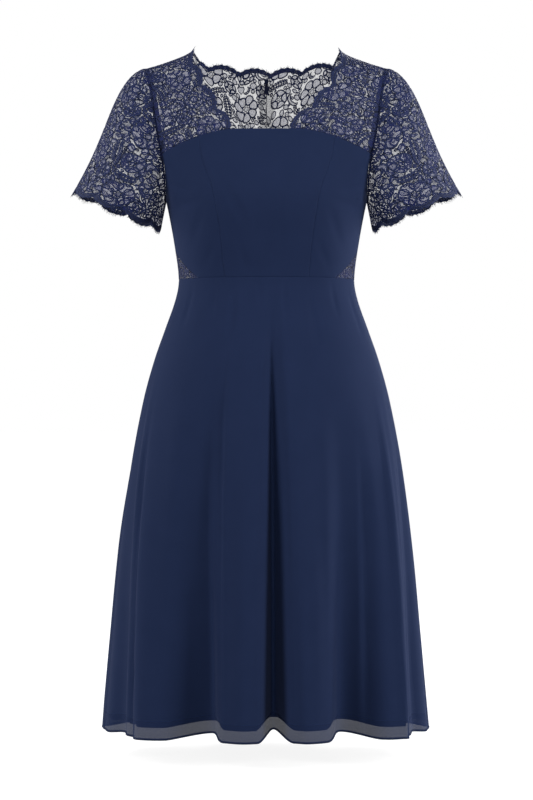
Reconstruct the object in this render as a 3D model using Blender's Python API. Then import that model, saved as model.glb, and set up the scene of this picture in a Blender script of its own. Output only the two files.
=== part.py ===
"""A knee-length cocktail dress, held out in its worn shape with nobody in it.

Metres, +Z up. The front faces -Y and the wearer's left is +X. The origin is the middle of the line
between the two shoulder seams, where the wearer's shoulders carry the dress. Heights are given as
drops below that line.
"""

import math
from collections import namedtuple

import bmesh
import bpy
from mathutils import Matrix, Vector

# ---------------------------------------------------------------- cloth and seams

CLOTH = 0.0012  # wall of a panel
SEAM_GAP = 0.0003  # between neighbouring panels
HALF_GAP = SEAM_GAP / 2
FRONT, BACK = -1, 1
LEFT, RIGHT = 1, -1  # the wearer's

# ---------------------------------------------------------------- levels, as drops

UNDERARM = 0.252
WAIST = 0.382
HEM = 1.127
LINING_HEM = 1.107
ZIP_TOP = 0.045
ZIP_END = 0.560

# ---------------------------------------------------------------- the worn form

Section = namedtuple("Section", "drop half_width front back squareness")
FORM = (
    Section(0.000, 0.2150, 0.085, 0.085, 2.40),
    Section(0.100, 0.2050, 0.094, 0.100, 2.40),
    Section(0.142, 0.1975, 0.099, 0.104, 2.40),
    Section(0.200, 0.1805, 0.118, 0.103, 2.40),
    Section(UNDERARM, 0.1665, 0.127, 0.099, 2.40),
    Section(0.322, 0.1530, 0.115, 0.092, 2.40),
    Section(WAIST, 0.1455, 0.104, 0.088, 2.35),
    Section(0.415, 0.1510, 0.108, 0.094, 2.30),
    Section(0.465, 0.1685, 0.120, 0.109, 2.25),
    Section(0.515, 0.1860, 0.131, 0.121, 2.20),
    Section(0.581, 0.2040, 0.141, 0.133, 2.15),
    Section(0.690, 0.2245, 0.152, 0.146, 2.10),
    Section(0.830, 0.2420, 0.161, 0.157, 2.05),
    Section(0.980, 0.2550, 0.168, 0.165, 2.00),
    Section(HEM, 0.2670, 0.173, 0.171, 2.00),
)

NECK_POINT = 0.122  # out from the centre, where the shoulder seam starts
SHOULDER_POINT = 0.199
SHOULDER_FALL = 0.031  # from the neck point to the shoulder point
SHOULDER_BEND = 0.70  # under 1 the shoulder line falls more steeply near the neck
SHOULDER_ROUND = 0.140  # the drop over which the chest and the back reach their full depth
NECK_RISE = 0.030  # how far the form would rise between the neck points

ArmholePoint = namedtuple("ArmholePoint", "drop out")
ARMHOLE = (
    ArmholePoint(SHOULDER_FALL, SHOULDER_POINT),
    ArmholePoint(0.060, 0.1905),
    ArmholePoint(0.095, 0.1850),
    ArmholePoint(0.144, 0.1780),
    ArmholePoint(0.183, 0.1700),
    ArmholePoint(0.221, 0.1660),
    ArmholePoint(UNDERARM, 0.1665),
)

SeamPoint = namedtuple("SeamPoint", "drop out")
PRINCESS_SEAM = (
    SeamPoint(0.140, 0.1125),
    SeamPoint(0.188, 0.1050),
    SeamPoint(0.234, 0.0890),
    SeamPoint(0.275, 0.0805),
    SeamPoint(0.323, 0.0735),
    SeamPoint(WAIST, 0.0680),
)

# The bodice ends in a level edge across the chest, which falls away to the armholes.
BodiceTop = namedtuple("BodiceTop", "centre level_to fall")
TOP_EDGE = {FRONT: BodiceTop(0.141, 0.050, 0.040), BACK: BodiceTop(0.150, 0.060, 0.030)}
TOP_EDGE_BEND = 1.7

# A lace triangle is let in at each side of the waist, its tip on the side seam.
INSET_TIP = 0.332
INSET_CORNER = math.radians(48)  # round the waist from the centre of the front or the back
INSET_BOW = 1.45  # over 1 the long edges curve out
INSET_BLUNT = 0.0015  # height of its outer corners
INSET_COLUMNS = 4  # from a corner to the side seam

# ---------------------------------------------------------------- lace edges

Notch = namedtuple("Notch", "out drop")  # where two scallops of the neck edge meet
NECK_NOTCHES = {
    LEFT: (Notch(0.1225, 0.029), Notch(0.108, 0.068), Notch(0.075, 0.106), Notch(0.038, 0.141)),
    RIGHT: (Notch(0.1220, 0.029), Notch(0.106, 0.067), Notch(0.081, 0.108), Notch(0.059, 0.141)),
}
NECK_SCALLOP_RISE = 0.009
BACK_NECK_DROP = 0.0305
BACK_NECK_LIFT = 0.85  # how fast the back neck edge rises away from the centre
BACK_SCALLOP = 0.052
BACK_SCALLOP_RISE = 0.009
BACK_SCALLOP_START = 0.0068
SLEEVE_SCALLOPS = 9
SLEEVE_SCALLOP_RISE = 0.008

# ---------------------------------------------------------------- sleeves

SLEEVE_HEM_CENTRE = Vector((0.2510, 0.002, -0.2730))
SLEEVE_HEM_OUT = Vector((0.0730, 0.0, 0.0315))  # to the outer edge, from the centre
SLEEVE_HEM_DEPTH = 0.052
SLEEVE_CAP = 0.0185  # how far the head of the sleeve rounds out
SLEEVE_CAP_PEAK = 0.2  # the share of the way down the sleeve where it does so most
SLEEVE_FULLNESS = 0.020  # the same at the front and the back

# ---------------------------------------------------------------- skirt folds

# Angles run round the skirt from the centre front, + towards the wearer's left. A fold keeps to
# hip_angle where it starts and to hem_angle at the hem. A + depth is a ridge and a - depth a valley.
# Above 0, lean makes the side away from the centre front the steep one.
Fold = namedtuple("Fold", "hip_angle hem_angle half_width depth start lean")
FOLDS = (
    Fold(3.5, 3.0, 6.4, -0.066, 0.390, 0.0),
    Fold(-8, -8, 9, 0.012, 0.500, 0.0),
    Fold(-27, -21.5, 19, -0.044, 0.500, -2.2),
    Fold(-66, -48, 17, 0.017, 0.480, 1.2),
    Fold(-72, -66, 12, -0.014, 0.560, 0.0),
    Fold(13, 14, 9, 0.013, 0.520, -0.5),
    Fold(34, 30.5, 16, -0.048, 0.540, -0.7),
    Fold(68, 53, 17, 0.017, 0.480, 1.2),
    Fold(76, 70, 11, -0.012, 0.560, 0.0),
    Fold(96, 98, 12, 0.006, 0.600, 0.0),
    Fold(-99, -97, 13, 0.007, 0.620, 0.0),
    Fold(114, 116, 14, -0.020, 0.520, 0.0),
    Fold(-118, -119, 12, -0.017, 0.560, 0.0),
    Fold(134, 133, 15, 0.014, 0.480, 0.6),
    Fold(-137, -136, 14, 0.015, 0.500, 0.4),
    Fold(154, 152, 13, -0.027, 0.450, 0.0),
    Fold(-157, -155, 12, -0.023, 0.470, 0.0),
    Fold(171, 170, 12, 0.012, 0.470, 0.0),
    Fold(-172, -172, 11, 0.011, 0.480, 0.0),
)
FOLD_GROWTH = 1.4  # a fold deepens towards the hem as this power of the way down
HEM_LIFT = 0.20  # the hem rides this much higher for each metre of a valley's depth

LINING_INSET = 0.0050  # from the face of the skirt to the face of its lining

# ---------------------------------------------------------------- zip

ZIP_SLIT = 0.0012  # half the space between the centre back edges
TAPE_HALF_WIDTH = 0.012
TAPE_DEPTH = (0.0024, 0.0033)  # below the face of the back
COIL_HALF_WIDTH = 0.0008
COIL_DEPTH = 0.0005
SLIDER_HALF = Vector((0.0034, 0.0015, 0.0045))  # half sizes of its body: across, deep, long
SLIDER_DEPTH = 0.0040
EYE_HEIGHT = 0.0021  # of the hinge above the cloth
EYE_RADII = (0.0010, 0.0020)
EYE_HALF_WIDTH = 0.0007
PULL_LENGTH = 0.026
PULL_HALF_WIDTH = 0.0034
PULL_NECK_HALF_WIDTH = 0.0026
PULL_THICKNESS = 0.0012
FORK_HALF_WIDTH = 0.0011
FORK_DEPTH = 0.0036
PIN_RADIUS = 0.00055

# ---------------------------------------------------------------- colours

NAVY_CHIFFON = (0.020, 0.031, 0.078)
NAVY_LACE = (0.024, 0.032, 0.086)
NAVY_LINING = (0.016, 0.023, 0.058)
NAVY_ENAMEL = (0.018, 0.026, 0.070)


def cloth_material(name, colour, roughness, metallic=0.0):
    material = bpy.data.materials.new(name)
    material.use_nodes = True
    shader = material.node_tree.nodes["Principled BSDF"]
    shader.inputs["Base Color"].default_value = (*colour, 1.0)
    shader.inputs["Roughness"].default_value = roughness
    shader.inputs["Metallic"].default_value = metallic
    return material


# ---------------------------------------------------------------- reading the form


def between(start, end, share):
    return start + (end - start) * share


def steps(count):
    return [i / count for i in range(count + 1)]


def smooth(rows, column, drop):
    """One column of a table at a drop, on a smooth curve through its rows."""
    drops = [row.drop for row in rows]
    values = [getattr(row, column) for row in rows]
    drop = min(max(drop, drops[0]), drops[-1])
    last = len(rows) - 1
    i = next(k for k in range(last) if drop <= drops[k + 1])

    def slope(k):
        before, after = max(k - 1, 0), min(k + 1, last)
        return (values[after] - values[before]) / (drops[after] - drops[before])

    span = drops[i + 1] - drops[i]
    t = (drop - drops[i]) / span
    return (
        values[i] * (1 + 2 * t) * (1 - t) ** 2
        + values[i + 1] * t * t * (3 - 2 * t)
        + slope(i) * span * t * (1 - t) ** 2
        - slope(i + 1) * span * t * t * (1 - t)
    )


def ridge(x):
    """Drop of the shoulder line at x, which would rise between the neck points."""
    out = abs(x)
    if out < NECK_POINT:
        return NECK_RISE * ((out / NECK_POINT) ** 2 - 1)
    return SHOULDER_FALL * ((out - NECK_POINT) / (SHOULDER_POINT - NECK_POINT)) ** SHOULDER_BEND


def shoulder_round(x, drop):
    """0 on the shoulder line and 1 below it, along a quarter of a circle."""
    share = min(max((drop - ridge(x)) / SHOULDER_ROUND, 0), 1)
    return math.sqrt(1 - (1 - share) ** 2)


def form_point(face, side, angle, drop, gap=0.0):
    """A point of the form. The angle runs from the centre of the face to the side seam."""
    power = smooth(FORM, "squareness", drop)
    depth = smooth(FORM, "front" if face == FRONT else "back", drop)
    sine, cosine = max(math.sin(angle), 0), max(math.cos(angle), 0)
    reach = (sine**power + cosine**power) ** (-1 / power)
    x = smooth(FORM, "half_width", drop) * sine * reach
    y = depth * cosine * reach * shoulder_round(x, drop) + gap
    return Vector((side * x, face * y, -drop))


def angle_at(out, drop):
    """The angle at which the form is this far out from the centre."""
    power = smooth(FORM, "squareness", drop)
    share = min(out / smooth(FORM, "half_width", drop), 1)
    return math.atan2(share, (1 - share**power) ** (1 / power))


def face_point(face, x, drop, gap=0.0):
    """The point of the front or the back of the form that is at x."""
    return form_point(face, LEFT if x >= 0 else RIGHT, angle_at(abs(x), drop), drop, gap)


def top_edge(face, out):
    edge = TOP_EDGE[face]
    share = max(out - edge.level_to, 0) / (SHOULDER_POINT - NECK_POINT + edge.level_to)
    return edge.centre + edge.fall * share**TOP_EDGE_BEND


def inset_edge(angle):
    """Drop of the lace triangle's long edge, at an angle from the centre of the front or back."""
    share = min((math.pi / 2 - angle) / (math.pi / 2 - INSET_CORNER), 1)
    return between(INSET_TIP, WAIST - INSET_BLUNT, max(share, 0) ** INSET_BOW)


# ---------------------------------------------------------------- making pieces


def new_object(name, mesh, material):
    mesh.materials.append(material)
    mesh.shade_smooth()
    mesh.set_sharp_from_angle(angle=math.radians(40))
    piece = bpy.data.objects.new(name, mesh)
    bpy.context.scene.collection.objects.link(piece)
    return piece


def closed_piece(name, bm, material):
    """Turns a closed shape's faces outwards and makes it an object."""
    bmesh.ops.recalc_face_normals(bm, faces=bm.faces[:])
    if bm.calc_volume(signed=True) < 0:
        bmesh.ops.reverse_faces(bm, faces=bm.faces[:])
    mesh = bpy.data.meshes.new(name)
    bm.to_mesh(mesh)
    bm.free()
    return new_object(name, mesh, material)


def face_normal(place, column, row, columns, rows):
    """Square to the face at a grid point, from places a little to each side of it."""
    near = 0.05
    across = place(min(column + near, columns), row) - place(max(column - near, 0), row)
    along = place(column, min(row + near, rows)) - place(column, max(row - near, 0))
    return across.cross(along).normalized()


def cloth_panel(name, columns, rows, place, inside, material, closed=False):
    """A wall of cloth whose face is place(column, row), with its lining side towards `inside`."""
    bm = bmesh.new()
    bmesh.ops.create_grid(bm, x_segments=columns, y_segments=rows, size=1)
    if closed:
        first = {round(vert.co.y, 5): vert for vert in bm.verts if vert.co.x < -0.9999}
        last = [vert for vert in bm.verts if vert.co.x > 0.9999]
        bmesh.ops.weld_verts(bm, targetmap={vert: first[round(vert.co.y, 5)] for vert in last})
    lifted = bmesh.ops.extrude_face_region(bm, geom=bm.faces[:])["geom"]
    under = {item for item in lifted if isinstance(item, bmesh.types.BMVert)}
    for vert in bm.verts:
        column = round((vert.co.x + 1) / 2 * columns)
        row = round((vert.co.y + 1) / 2 * rows)
        spot = place(column, row)
        if vert in under:
            inward = face_normal(place, column, row, columns, rows)
            if inward.dot(inside - spot) < 0:
                inward = -inward
            spot += inward * CLOTH
        vert.co = spot
    return closed_piece(name, bm, material)


BODICE_MIDDLE = Vector((0, 0, -0.25))
SKIRT_MIDDLE = Vector((0, 0, -0.75))

# ---------------------------------------------------------------- bodice


def princess(drop):
    return smooth(PRINCESS_SEAM, "out", drop)


def bodice_front(material):
    columns, rows = 10, 8

    def place(column, row):
        across = 2 * column / columns - 1
        top = TOP_EDGE[FRONT].centre
        for _ in range(6):
            top = top_edge(FRONT, abs(across) * princess(top)) + HALF_GAP
        drop = between(top, WAIST - HALF_GAP, row / rows)
        return face_point(FRONT, across * (princess(drop) - HALF_GAP), drop)

    cloth_panel("bodice_front", columns, rows, place, BODICE_MIDDLE, material)


def bodice_side_panel(name, face, side, inner, inner_columns, material):
    """A panel from the seam at inner(drop) out to the armhole and the side seam."""
    rows = 8
    columns = inner_columns + INSET_COLUMNS

    def outer_angle(drop):
        if drop >= UNDERARM:
            return math.pi / 2
        return angle_at(smooth(ARMHOLE, "out", drop) - HALF_GAP, drop)

    start = angle_at(inner(WAIST), WAIST)
    corner_share = (INSET_CORNER - start) / (math.pi / 2 - start)

    def share_at(column):
        if column <= inner_columns:
            return corner_share * column / inner_columns
        return between(corner_share, 1, (column - inner_columns) / INSET_COLUMNS)

    def angle_of(share, drop):
        return between(angle_at(inner(drop) + HALF_GAP, drop), outer_angle(drop), share)

    def place(column, row):
        share = share_at(column)
        top, bottom = TOP_EDGE[face].centre, WAIST - HALF_GAP
        for _ in range(6):
            out = abs(form_point(face, side, angle_of(share, top), top).x)
            top = top_edge(face, out) + HALF_GAP
        if column >= inner_columns:
            bottom = inset_edge(angle_of(share, WAIST)) - HALF_GAP
        drop = between(top, bottom, row / rows)
        return form_point(face, side, angle_of(share, drop), drop, HALF_GAP)

    cloth_panel(name, columns, rows, place, BODICE_MIDDLE, material)


def centre_back(drop):
    """Half the space between the two centre back edges."""
    closing = min(max((drop - ZIP_END) / 0.02, 0), 1)
    return between(ZIP_SLIT - HALF_GAP, 0, closing)


def waist_inset(name, side, material):
    columns, rows = 2 * INSET_COLUMNS, 3

    def place(column, row):
        share = column / INSET_COLUMNS - 1
        face = FRONT if share < 0 else BACK
        angle = between(math.pi / 2, INSET_CORNER, abs(share))
        drop = between(inset_edge(angle) + HALF_GAP, WAIST - HALF_GAP, row / rows)
        return form_point(face, side, angle, drop)

    cloth_panel(name, columns, rows, place, BODICE_MIDDLE, material)


# ---------------------------------------------------------------- lace yokes


def over_shoulder(share):
    """Spaces rows evenly round the quarter circle that shoulder_round follows."""
    return 1 - math.cos(math.pi / 2 * share)


def scallop(share):
    return abs(math.sin(math.pi * share)) ** 0.8


def neck_edge(side, row, rows_to_notch, rows_per_scallop):
    """(out, drop) down the front neck edge: over the shoulder, then scallop by scallop."""
    notches = NECK_NOTCHES[side]
    if row <= rows_to_notch:
        share = over_shoulder(row / rows_to_notch)
        return Vector((between(NECK_POINT, notches[0].out, share), share * notches[0].drop))
    along = (row - rows_to_notch) / rows_per_scallop
    index = min(int(along), len(notches) - 2)
    start, end = Vector(notches[index]), Vector(notches[index + 1])
    chord = end - start
    inward = Vector((-chord.y, chord.x)).normalized()
    return start + chord * (along - index) + inward * NECK_SCALLOP_RISE * scallop(along - index)


def yoke_front(name, side, material):
    rows_to_notch, rows_per_scallop = 3, 3
    columns, rows = 7, rows_to_notch + 3 * rows_per_scallop
    bottom_in = NECK_NOTCHES[side][-1].out

    def armhole(row):
        meets = top_edge(FRONT, smooth(ARMHOLE, "out", 0.179)) - HALF_GAP
        drop = between(SHOULDER_FALL, meets, over_shoulder(row / rows))
        return Vector((smooth(ARMHOLE, "out", drop) - HALF_GAP, drop))

    def place(column, row):
        u = column / columns
        inner = neck_edge(side, row, rows_to_notch, rows_per_scallop)
        outer = armhole(row)
        last_in = neck_edge(side, rows, rows_to_notch, rows_per_scallop)
        last_out = armhole(rows)
        top_out = between(NECK_POINT, SHOULDER_POINT - HALF_GAP, u)
        low_out = between(bottom_in, last_out.x, u)
        top = Vector((top_out, ridge(top_out)))
        low = Vector((low_out, top_edge(FRONT, low_out) - HALF_GAP))
        flat_top = between(Vector((NECK_POINT, 0)), armhole(0), u)
        flat_low = between(last_in, last_out, u)
        spot = between(inner, outer, u)
        spot += between(top - flat_top, low - flat_low, over_shoulder(row / rows))
        return face_point(FRONT, side * spot.x, spot.y, HALF_GAP)

    cloth_panel(name, columns, rows, place, BODICE_MIDDLE, material)


def back_neck_edge(x):
    """Drop of the scalloped back neck edge, which runs up to the neck point at each end."""
    out = abs(x)
    hollow = BACK_NECK_DROP - BACK_NECK_LIFT * out**2
    lift = BACK_SCALLOP_RISE * scallop((x - BACK_SCALLOP_START) / BACK_SCALLOP)
    to_shoulder = min(max((out - 0.110) / (NECK_POINT - 0.110), 0), 1)
    return (hollow - lift) * (1 - to_shoulder**2)


def yoke_back(name, side, material):
    neck_columns, shoulder_columns, rows = 9, 4, 7
    columns = neck_columns + shoulder_columns
    low_out = smooth(ARMHOLE, "out", 0.175) - HALF_GAP

    def place(column, row):
        v = over_shoulder(row / rows)
        if column <= neck_columns:
            top_out = between(ZIP_SLIT, NECK_POINT, column / neck_columns)
            top = back_neck_edge(side * top_out)
        else:
            share = (column - neck_columns) / shoulder_columns
            top_out = between(NECK_POINT, SHOULDER_POINT - HALF_GAP, share)
            top = ridge(top_out)
        u = (top_out - ZIP_SLIT) / (SHOULDER_POINT - HALF_GAP - ZIP_SLIT)
        bottom = top_edge(BACK, between(ZIP_SLIT, low_out, u)) - HALF_GAP
        drop = between(top, bottom, v)
        level_out = between(top_out, between(ZIP_SLIT, low_out, u), v)
        edge_bow = (smooth(ARMHOLE, "out", drop) - HALF_GAP) - between(
            SHOULDER_POINT - HALF_GAP, low_out, v
        )
        return face_point(BACK, side * (level_out + edge_bow * u**3), drop, HALF_GAP)

    cloth_panel(name, columns, rows, place, BODICE_MIDDLE, material)


# ---------------------------------------------------------------- sleeves


def armhole_point(side, turn):
    """A point of the armhole seam. The turn goes from the shoulder by the front to the underarm."""
    drop = between(SHOULDER_FALL, UNDERARM, (1 - math.cos(turn)) / 2)
    face = FRONT if math.sin(turn) >= 0 else BACK
    return face_point(face, side * smooth(ARMHOLE, "out", drop), drop)


def sleeve(name, side, material):
    columns, rows = 4 * SLEEVE_SCALLOPS, 6
    mirror = Vector((side, 1, 1))
    out = SLEEVE_HEM_OUT.normalized()
    down = Vector((SLEEVE_HEM_OUT.z, 0, -SLEEVE_HEM_OUT.x)).normalized()

    def place(column, row):
        turn = math.pi + 2 * math.pi * column / columns
        share = (row / rows) ** 1.5
        seam = armhole_point(side, turn) * mirror + Vector((SEAM_GAP, 0, 0))
        hem = SLEEVE_HEM_CENTRE + SLEEVE_HEM_OUT * math.cos(turn)
        hem.y -= SLEEVE_HEM_DEPTH * math.sin(turn)
        edge = scallop(SLEEVE_SCALLOPS * column / columns) - 1
        hem += down * SLEEVE_SCALLOP_RISE * edge
        peak = SLEEVE_CAP_PEAK
        rounding = (share / peak * ((1 - share) / (1 - peak)) ** (1 / peak - 1)) ** 0.65
        cap = out * SLEEVE_CAP * max(math.cos(turn), 0) * rounding
        sides = Vector((0, -math.sin(turn), 0)) * SLEEVE_FULLNESS * math.sin(math.pi * share) ** 0.8
        return (between(seam, hem, share) + cap + sides) * mirror

    middle = Vector((side * 0.225, 0, -0.17))
    cloth_panel(name, columns, rows, place, middle, material, closed=True)


# ---------------------------------------------------------------- skirt and lining


def fold_depth(angle, drop):
    """How far the folds move the skirt out at an angle in degrees from the centre front."""
    total = 0.0
    for fold in FOLDS:
        way = min(max((drop - fold.start) / (HEM - fold.start), 0), 1)
        centre = between(fold.hip_angle, fold.hem_angle, way)
        off = (angle - centre + 180) % 360 - 180
        if centre < 0:
            off = -off
        steep = 1 + abs(fold.lean) if off * fold.lean > 0 else 1
        off = min(abs(off) * steep / fold.half_width, 1)
        total += fold.depth * way**FOLD_GROWTH * (1 + math.cos(math.pi * off)) / 2
    return total


def skirt_face(angle, drop, shift=0.0):
    """A point of the skirt's face, with its folds, at an angle in degrees from the centre front."""
    side = LEFT if angle >= 0 else RIGHT
    face = FRONT if abs(angle) <= 90 else BACK
    from_middle = abs(angle) if face == FRONT else 180 - abs(angle)
    turn = math.radians(from_middle)
    spot = form_point(face, side, turn, drop) + Vector((0, shift, 0))
    half_width = smooth(FORM, "half_width", drop)
    depth = smooth(FORM, "front" if face == FRONT else "back", drop)
    out = Vector((side * math.sin(turn) / half_width, face * math.cos(turn) / depth, 0))
    return spot + out.normalized() * fold_depth(angle, drop)


def lining_point(angle, drop, shift):
    """The same for the lining, which lies square in from the skirt's face."""
    near, small = 1.0, 0.002
    middle = math.copysign(min(abs(angle), 180 - near), angle)
    across = skirt_face(middle + near, drop) - skirt_face(middle - near, drop)
    along = skirt_face(middle, drop - small) - skirt_face(middle, drop + small)
    return skirt_face(angle, drop, shift) - across.cross(along).normalized() * LINING_INSET


def hem_drop(angle, level):
    return level + HEM_LIFT * min(fold_depth(angle, HEM), 0)


SKIRT_ROWS = 8
LINING_ROWS = (0, 1, 2, 4, 6, 8)  # the skirt's rows that the lining follows
FRONT_COLUMNS = 44
BACK_COLUMNS = 14  # each side of the centre back


def front_angle(column):
    """Columns of the front, closer together by the deep middle folds."""
    across = 2 * column / FRONT_COLUMNS - 1
    return 90 * across * (0.6 + 0.4 * across**2)


def skirt_drop(angle, share, top, level):
    return between(top, hem_drop(angle, level), share**1.5)


def skirt_front(material):
    def place(column, row):
        angle = front_angle(column)
        drop = skirt_drop(angle, row / SKIRT_ROWS, WAIST + HALF_GAP, HEM)
        return skirt_face(angle, drop, FRONT * HALF_GAP)

    cloth_panel("skirt_front", FRONT_COLUMNS, SKIRT_ROWS, place, SKIRT_MIDDLE, material)


def skirt_back(name, side, material):
    def place(column, row):
        share = column / BACK_COLUMNS
        angle = side * between(90, 180, share)
        drop = skirt_drop(angle, row / SKIRT_ROWS, WAIST + HALF_GAP, HEM)
        spot = skirt_face(angle, drop, BACK * HALF_GAP)
        spot.x += side * share * (centre_back(drop) + HALF_GAP)
        return spot

    cloth_panel(name, BACK_COLUMNS, SKIRT_ROWS, place, SKIRT_MIDDLE, material)


def lining(name, columns, angle_of, shift, material):
    rows = len(LINING_ROWS) - 1
    top = WAIST + LINING_INSET

    def place(column, row):
        angle = angle_of(column)
        below = min(int(row), rows - 1)
        level = between(LINING_ROWS[below], LINING_ROWS[below + 1], row - below)
        drop = skirt_drop(angle, level / SKIRT_ROWS, top, LINING_HEM)
        return lining_point(angle, drop, shift)

    cloth_panel(name, columns, rows, place, SKIRT_MIDDLE, material)


def back_angle(column):
    """Round the back from the wearer's left side seam to the right one: 90 to 180, -180 to -90."""
    angle = 90 + 180 * column / (2 * BACK_COLUMNS)
    return angle if angle <= 180 else angle - 360


# ---------------------------------------------------------------- centre back zip


def back_line(drop):
    """The face of the back at the centre, folds included."""
    spot = face_point(BACK, 0, drop)
    spot.y += fold_depth(180, drop)
    return spot


def back_normal(drop):
    small = 0.003
    along = back_line(drop + small) - back_line(drop - small)
    return Vector((0, -along.z, along.y)).normalized()


def zip_tape(material):
    """Both tapes and the closed coil, drawn as one T-shaped section down the centre back."""
    rows = 26
    face, inner = TAPE_DEPTH
    section = (
        (-TAPE_HALF_WIDTH, inner),
        (TAPE_HALF_WIDTH, inner),
        (TAPE_HALF_WIDTH, face),
        (COIL_HALF_WIDTH, face),
        (COIL_HALF_WIDTH, COIL_DEPTH),
        (-COIL_HALF_WIDTH, COIL_DEPTH),
        (-COIL_HALF_WIDTH, face),
        (-TAPE_HALF_WIDTH, face),
    )

    def corners(row):
        drop = between(ZIP_TOP, ZIP_END, row / rows)
        spot, out = back_line(drop), back_normal(drop)
        return [spot + Vector((x, 0, 0)) - out * depth for x, depth in section]

    bm = bmesh.new()
    cap = bm.faces.new([bm.verts.new(spot) for spot in corners(0)])
    end = bmesh.ops.extrude_face_region(bm, geom=[cap])["geom"]
    for row in range(1, rows + 1):
        verts = [item for item in end if isinstance(item, bmesh.types.BMVert)]
        old = corners(row - 1)
        for vert in verts:
            vert.co = corners(row)[min(range(8), key=lambda k: (old[k] - vert.co).length)]
        if row < rows:
            top = next(item for item in end if isinstance(item, bmesh.types.BMFace))
            end = bmesh.ops.extrude_face_region(bm, geom=[top])["geom"]
            bmesh.ops.delete(bm, geom=[top], context="FACES_ONLY")
    closed_piece("zip_tape", bm, material)


def block(name, half, centre, material, bevel=0.0):
    bm = bmesh.new()
    bmesh.ops.create_cube(bm, size=2)
    bmesh.ops.scale(bm, vec=half, verts=bm.verts)
    if bevel:
        bmesh.ops.bevel(
            bm, geom=bm.edges[:], offset=bevel, segments=2, profile=0.5, affect="EDGES", material=-1
        )
    bmesh.ops.translate(bm, vec=centre, verts=bm.verts)
    return closed_piece(name, bm, material)


def join(piece, other):
    """Unites a helper with a piece, and leaves the helper out of the model."""
    other.hide_render = True
    other.display_type = "WIRE"
    other.parent = piece
    union = piece.modifiers.new(other.name, "BOOLEAN")
    union.operation = "UNION"
    union.solver = "EXACT"
    union.object = other


def ring(name, radii, half_width, material):
    """A short tube round the X axis."""
    inner, outer = radii
    bm = bmesh.new()
    corners = [(-half_width, inner), (half_width, inner), (half_width, outer), (-half_width, outer)]
    verts = [bm.verts.new((x, 0, z)) for x, z in corners]
    edges = [bm.edges.new((verts[i], verts[(i + 1) % 4])) for i in range(4)]
    bmesh.ops.spin(
        bm, geom=verts + edges, axis=(1, 0, 0), cent=(0, 0, 0), angle=2 * math.pi, steps=16, use_merge=True
    )
    return closed_piece(name, bm, material)


def zip_slider(material, place):
    """The slider's body lies inside the back. Its neck comes out between the edges to an eye."""
    body = block("zip_slider", SLIDER_HALF, (0, -SLIDER_DEPTH, 0), material, bevel=0.0007)
    body.matrix_world = place
    reach = (SLIDER_DEPTH + EYE_HEIGHT - EYE_RADII[0]) / 2
    neck_middle = (0, -SLIDER_DEPTH + reach, 0)
    neck = block("slider_neck", (EYE_HALF_WIDTH - 0.0001, reach - 0.0002, 0.0012), neck_middle, material)
    join(body, neck)
    eye = ring("slider_eye", EYE_RADII, EYE_HALF_WIDTH, material)
    eye.location = (0, EYE_HEIGHT, 0)
    join(body, eye)


def zip_pull(material, hinge, lean):
    """A flat tab, forked at the top round the slider's eye, with a pin across the fork."""
    outline = [
        (FORK_HALF_WIDTH, -FORK_DEPTH),
        (FORK_HALF_WIDTH, 0.0010),
        (PULL_NECK_HALF_WIDTH - 0.0004, 0.0010),
        (PULL_NECK_HALF_WIDTH, 0.0004),
        (PULL_NECK_HALF_WIDTH, -FORK_DEPTH - 0.0020),
        (PULL_HALF_WIDTH, -PULL_LENGTH + PULL_HALF_WIDTH + 0.002),
    ]
    for i in range(5):
        turn = math.pi / 2 * i / 5
        x = PULL_HALF_WIDTH * math.cos(turn)
        outline.append((x, -PULL_LENGTH + PULL_HALF_WIDTH * (1 - math.sin(turn))))
    bm = bmesh.new()
    right = [bm.verts.new((x, -PULL_THICKNESS / 2, z)) for x, z in outline]
    foot = bm.verts.new((0, -PULL_THICKNESS / 2, -PULL_LENGTH))
    left = [bm.verts.new((-x, -PULL_THICKNESS / 2, z)) for x, z in reversed(outline)]
    plate = bm.faces.new(right + [foot] + left)
    lifted = bmesh.ops.extrude_face_region(bm, geom=[plate])["geom"]
    verts = [item for item in lifted if isinstance(item, bmesh.types.BMVert)]
    bmesh.ops.translate(bm, vec=(0, PULL_THICKNESS, 0), verts=verts)
    tab = closed_piece("zip_pull", bm, material)
    bm = bmesh.new()
    length = 2 * FORK_HALF_WIDTH + 0.001
    bmesh.ops.create_cone(
        bm, cap_ends=True, segments=10, radius1=PIN_RADIUS, radius2=PIN_RADIUS, depth=length
    )
    bmesh.ops.rotate(bm, cent=(0, 0, 0), matrix=Matrix.Rotation(math.pi / 2, 3, "Y"), verts=bm.verts)
    join(tab, closed_piece("pull_pin", bm, material))
    tab.matrix_world = Matrix.Translation(hinge) @ Matrix.Rotation(lean, 4, "X")


def centre_back_zip(material):
    """The zip is shut, its slider at the top and its tab hanging on the outside."""
    zip_tape(material)
    length = 2 * SLIDER_HALF.z
    drop = ZIP_TOP - length / 2 - SEAM_GAP
    spot = back_line(drop)
    slope = math.atan2(back_normal(drop).z, back_normal(drop).y)
    zip_slider(material, Matrix.Translation(spot) @ Matrix.Rotation(slope, 4, "X"))
    hinge = spot + back_normal(drop) * EYE_HEIGHT
    below = back_line(drop + PULL_LENGTH * 0.9)
    lean = math.atan2(below.y - spot.y, spot.z - below.z)
    zip_pull(material, hinge, lean)


# ---------------------------------------------------------------- the dress


def clear_scene():
    for thing in list(bpy.data.objects):
        bpy.data.objects.remove(thing, do_unlink=True)


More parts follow.
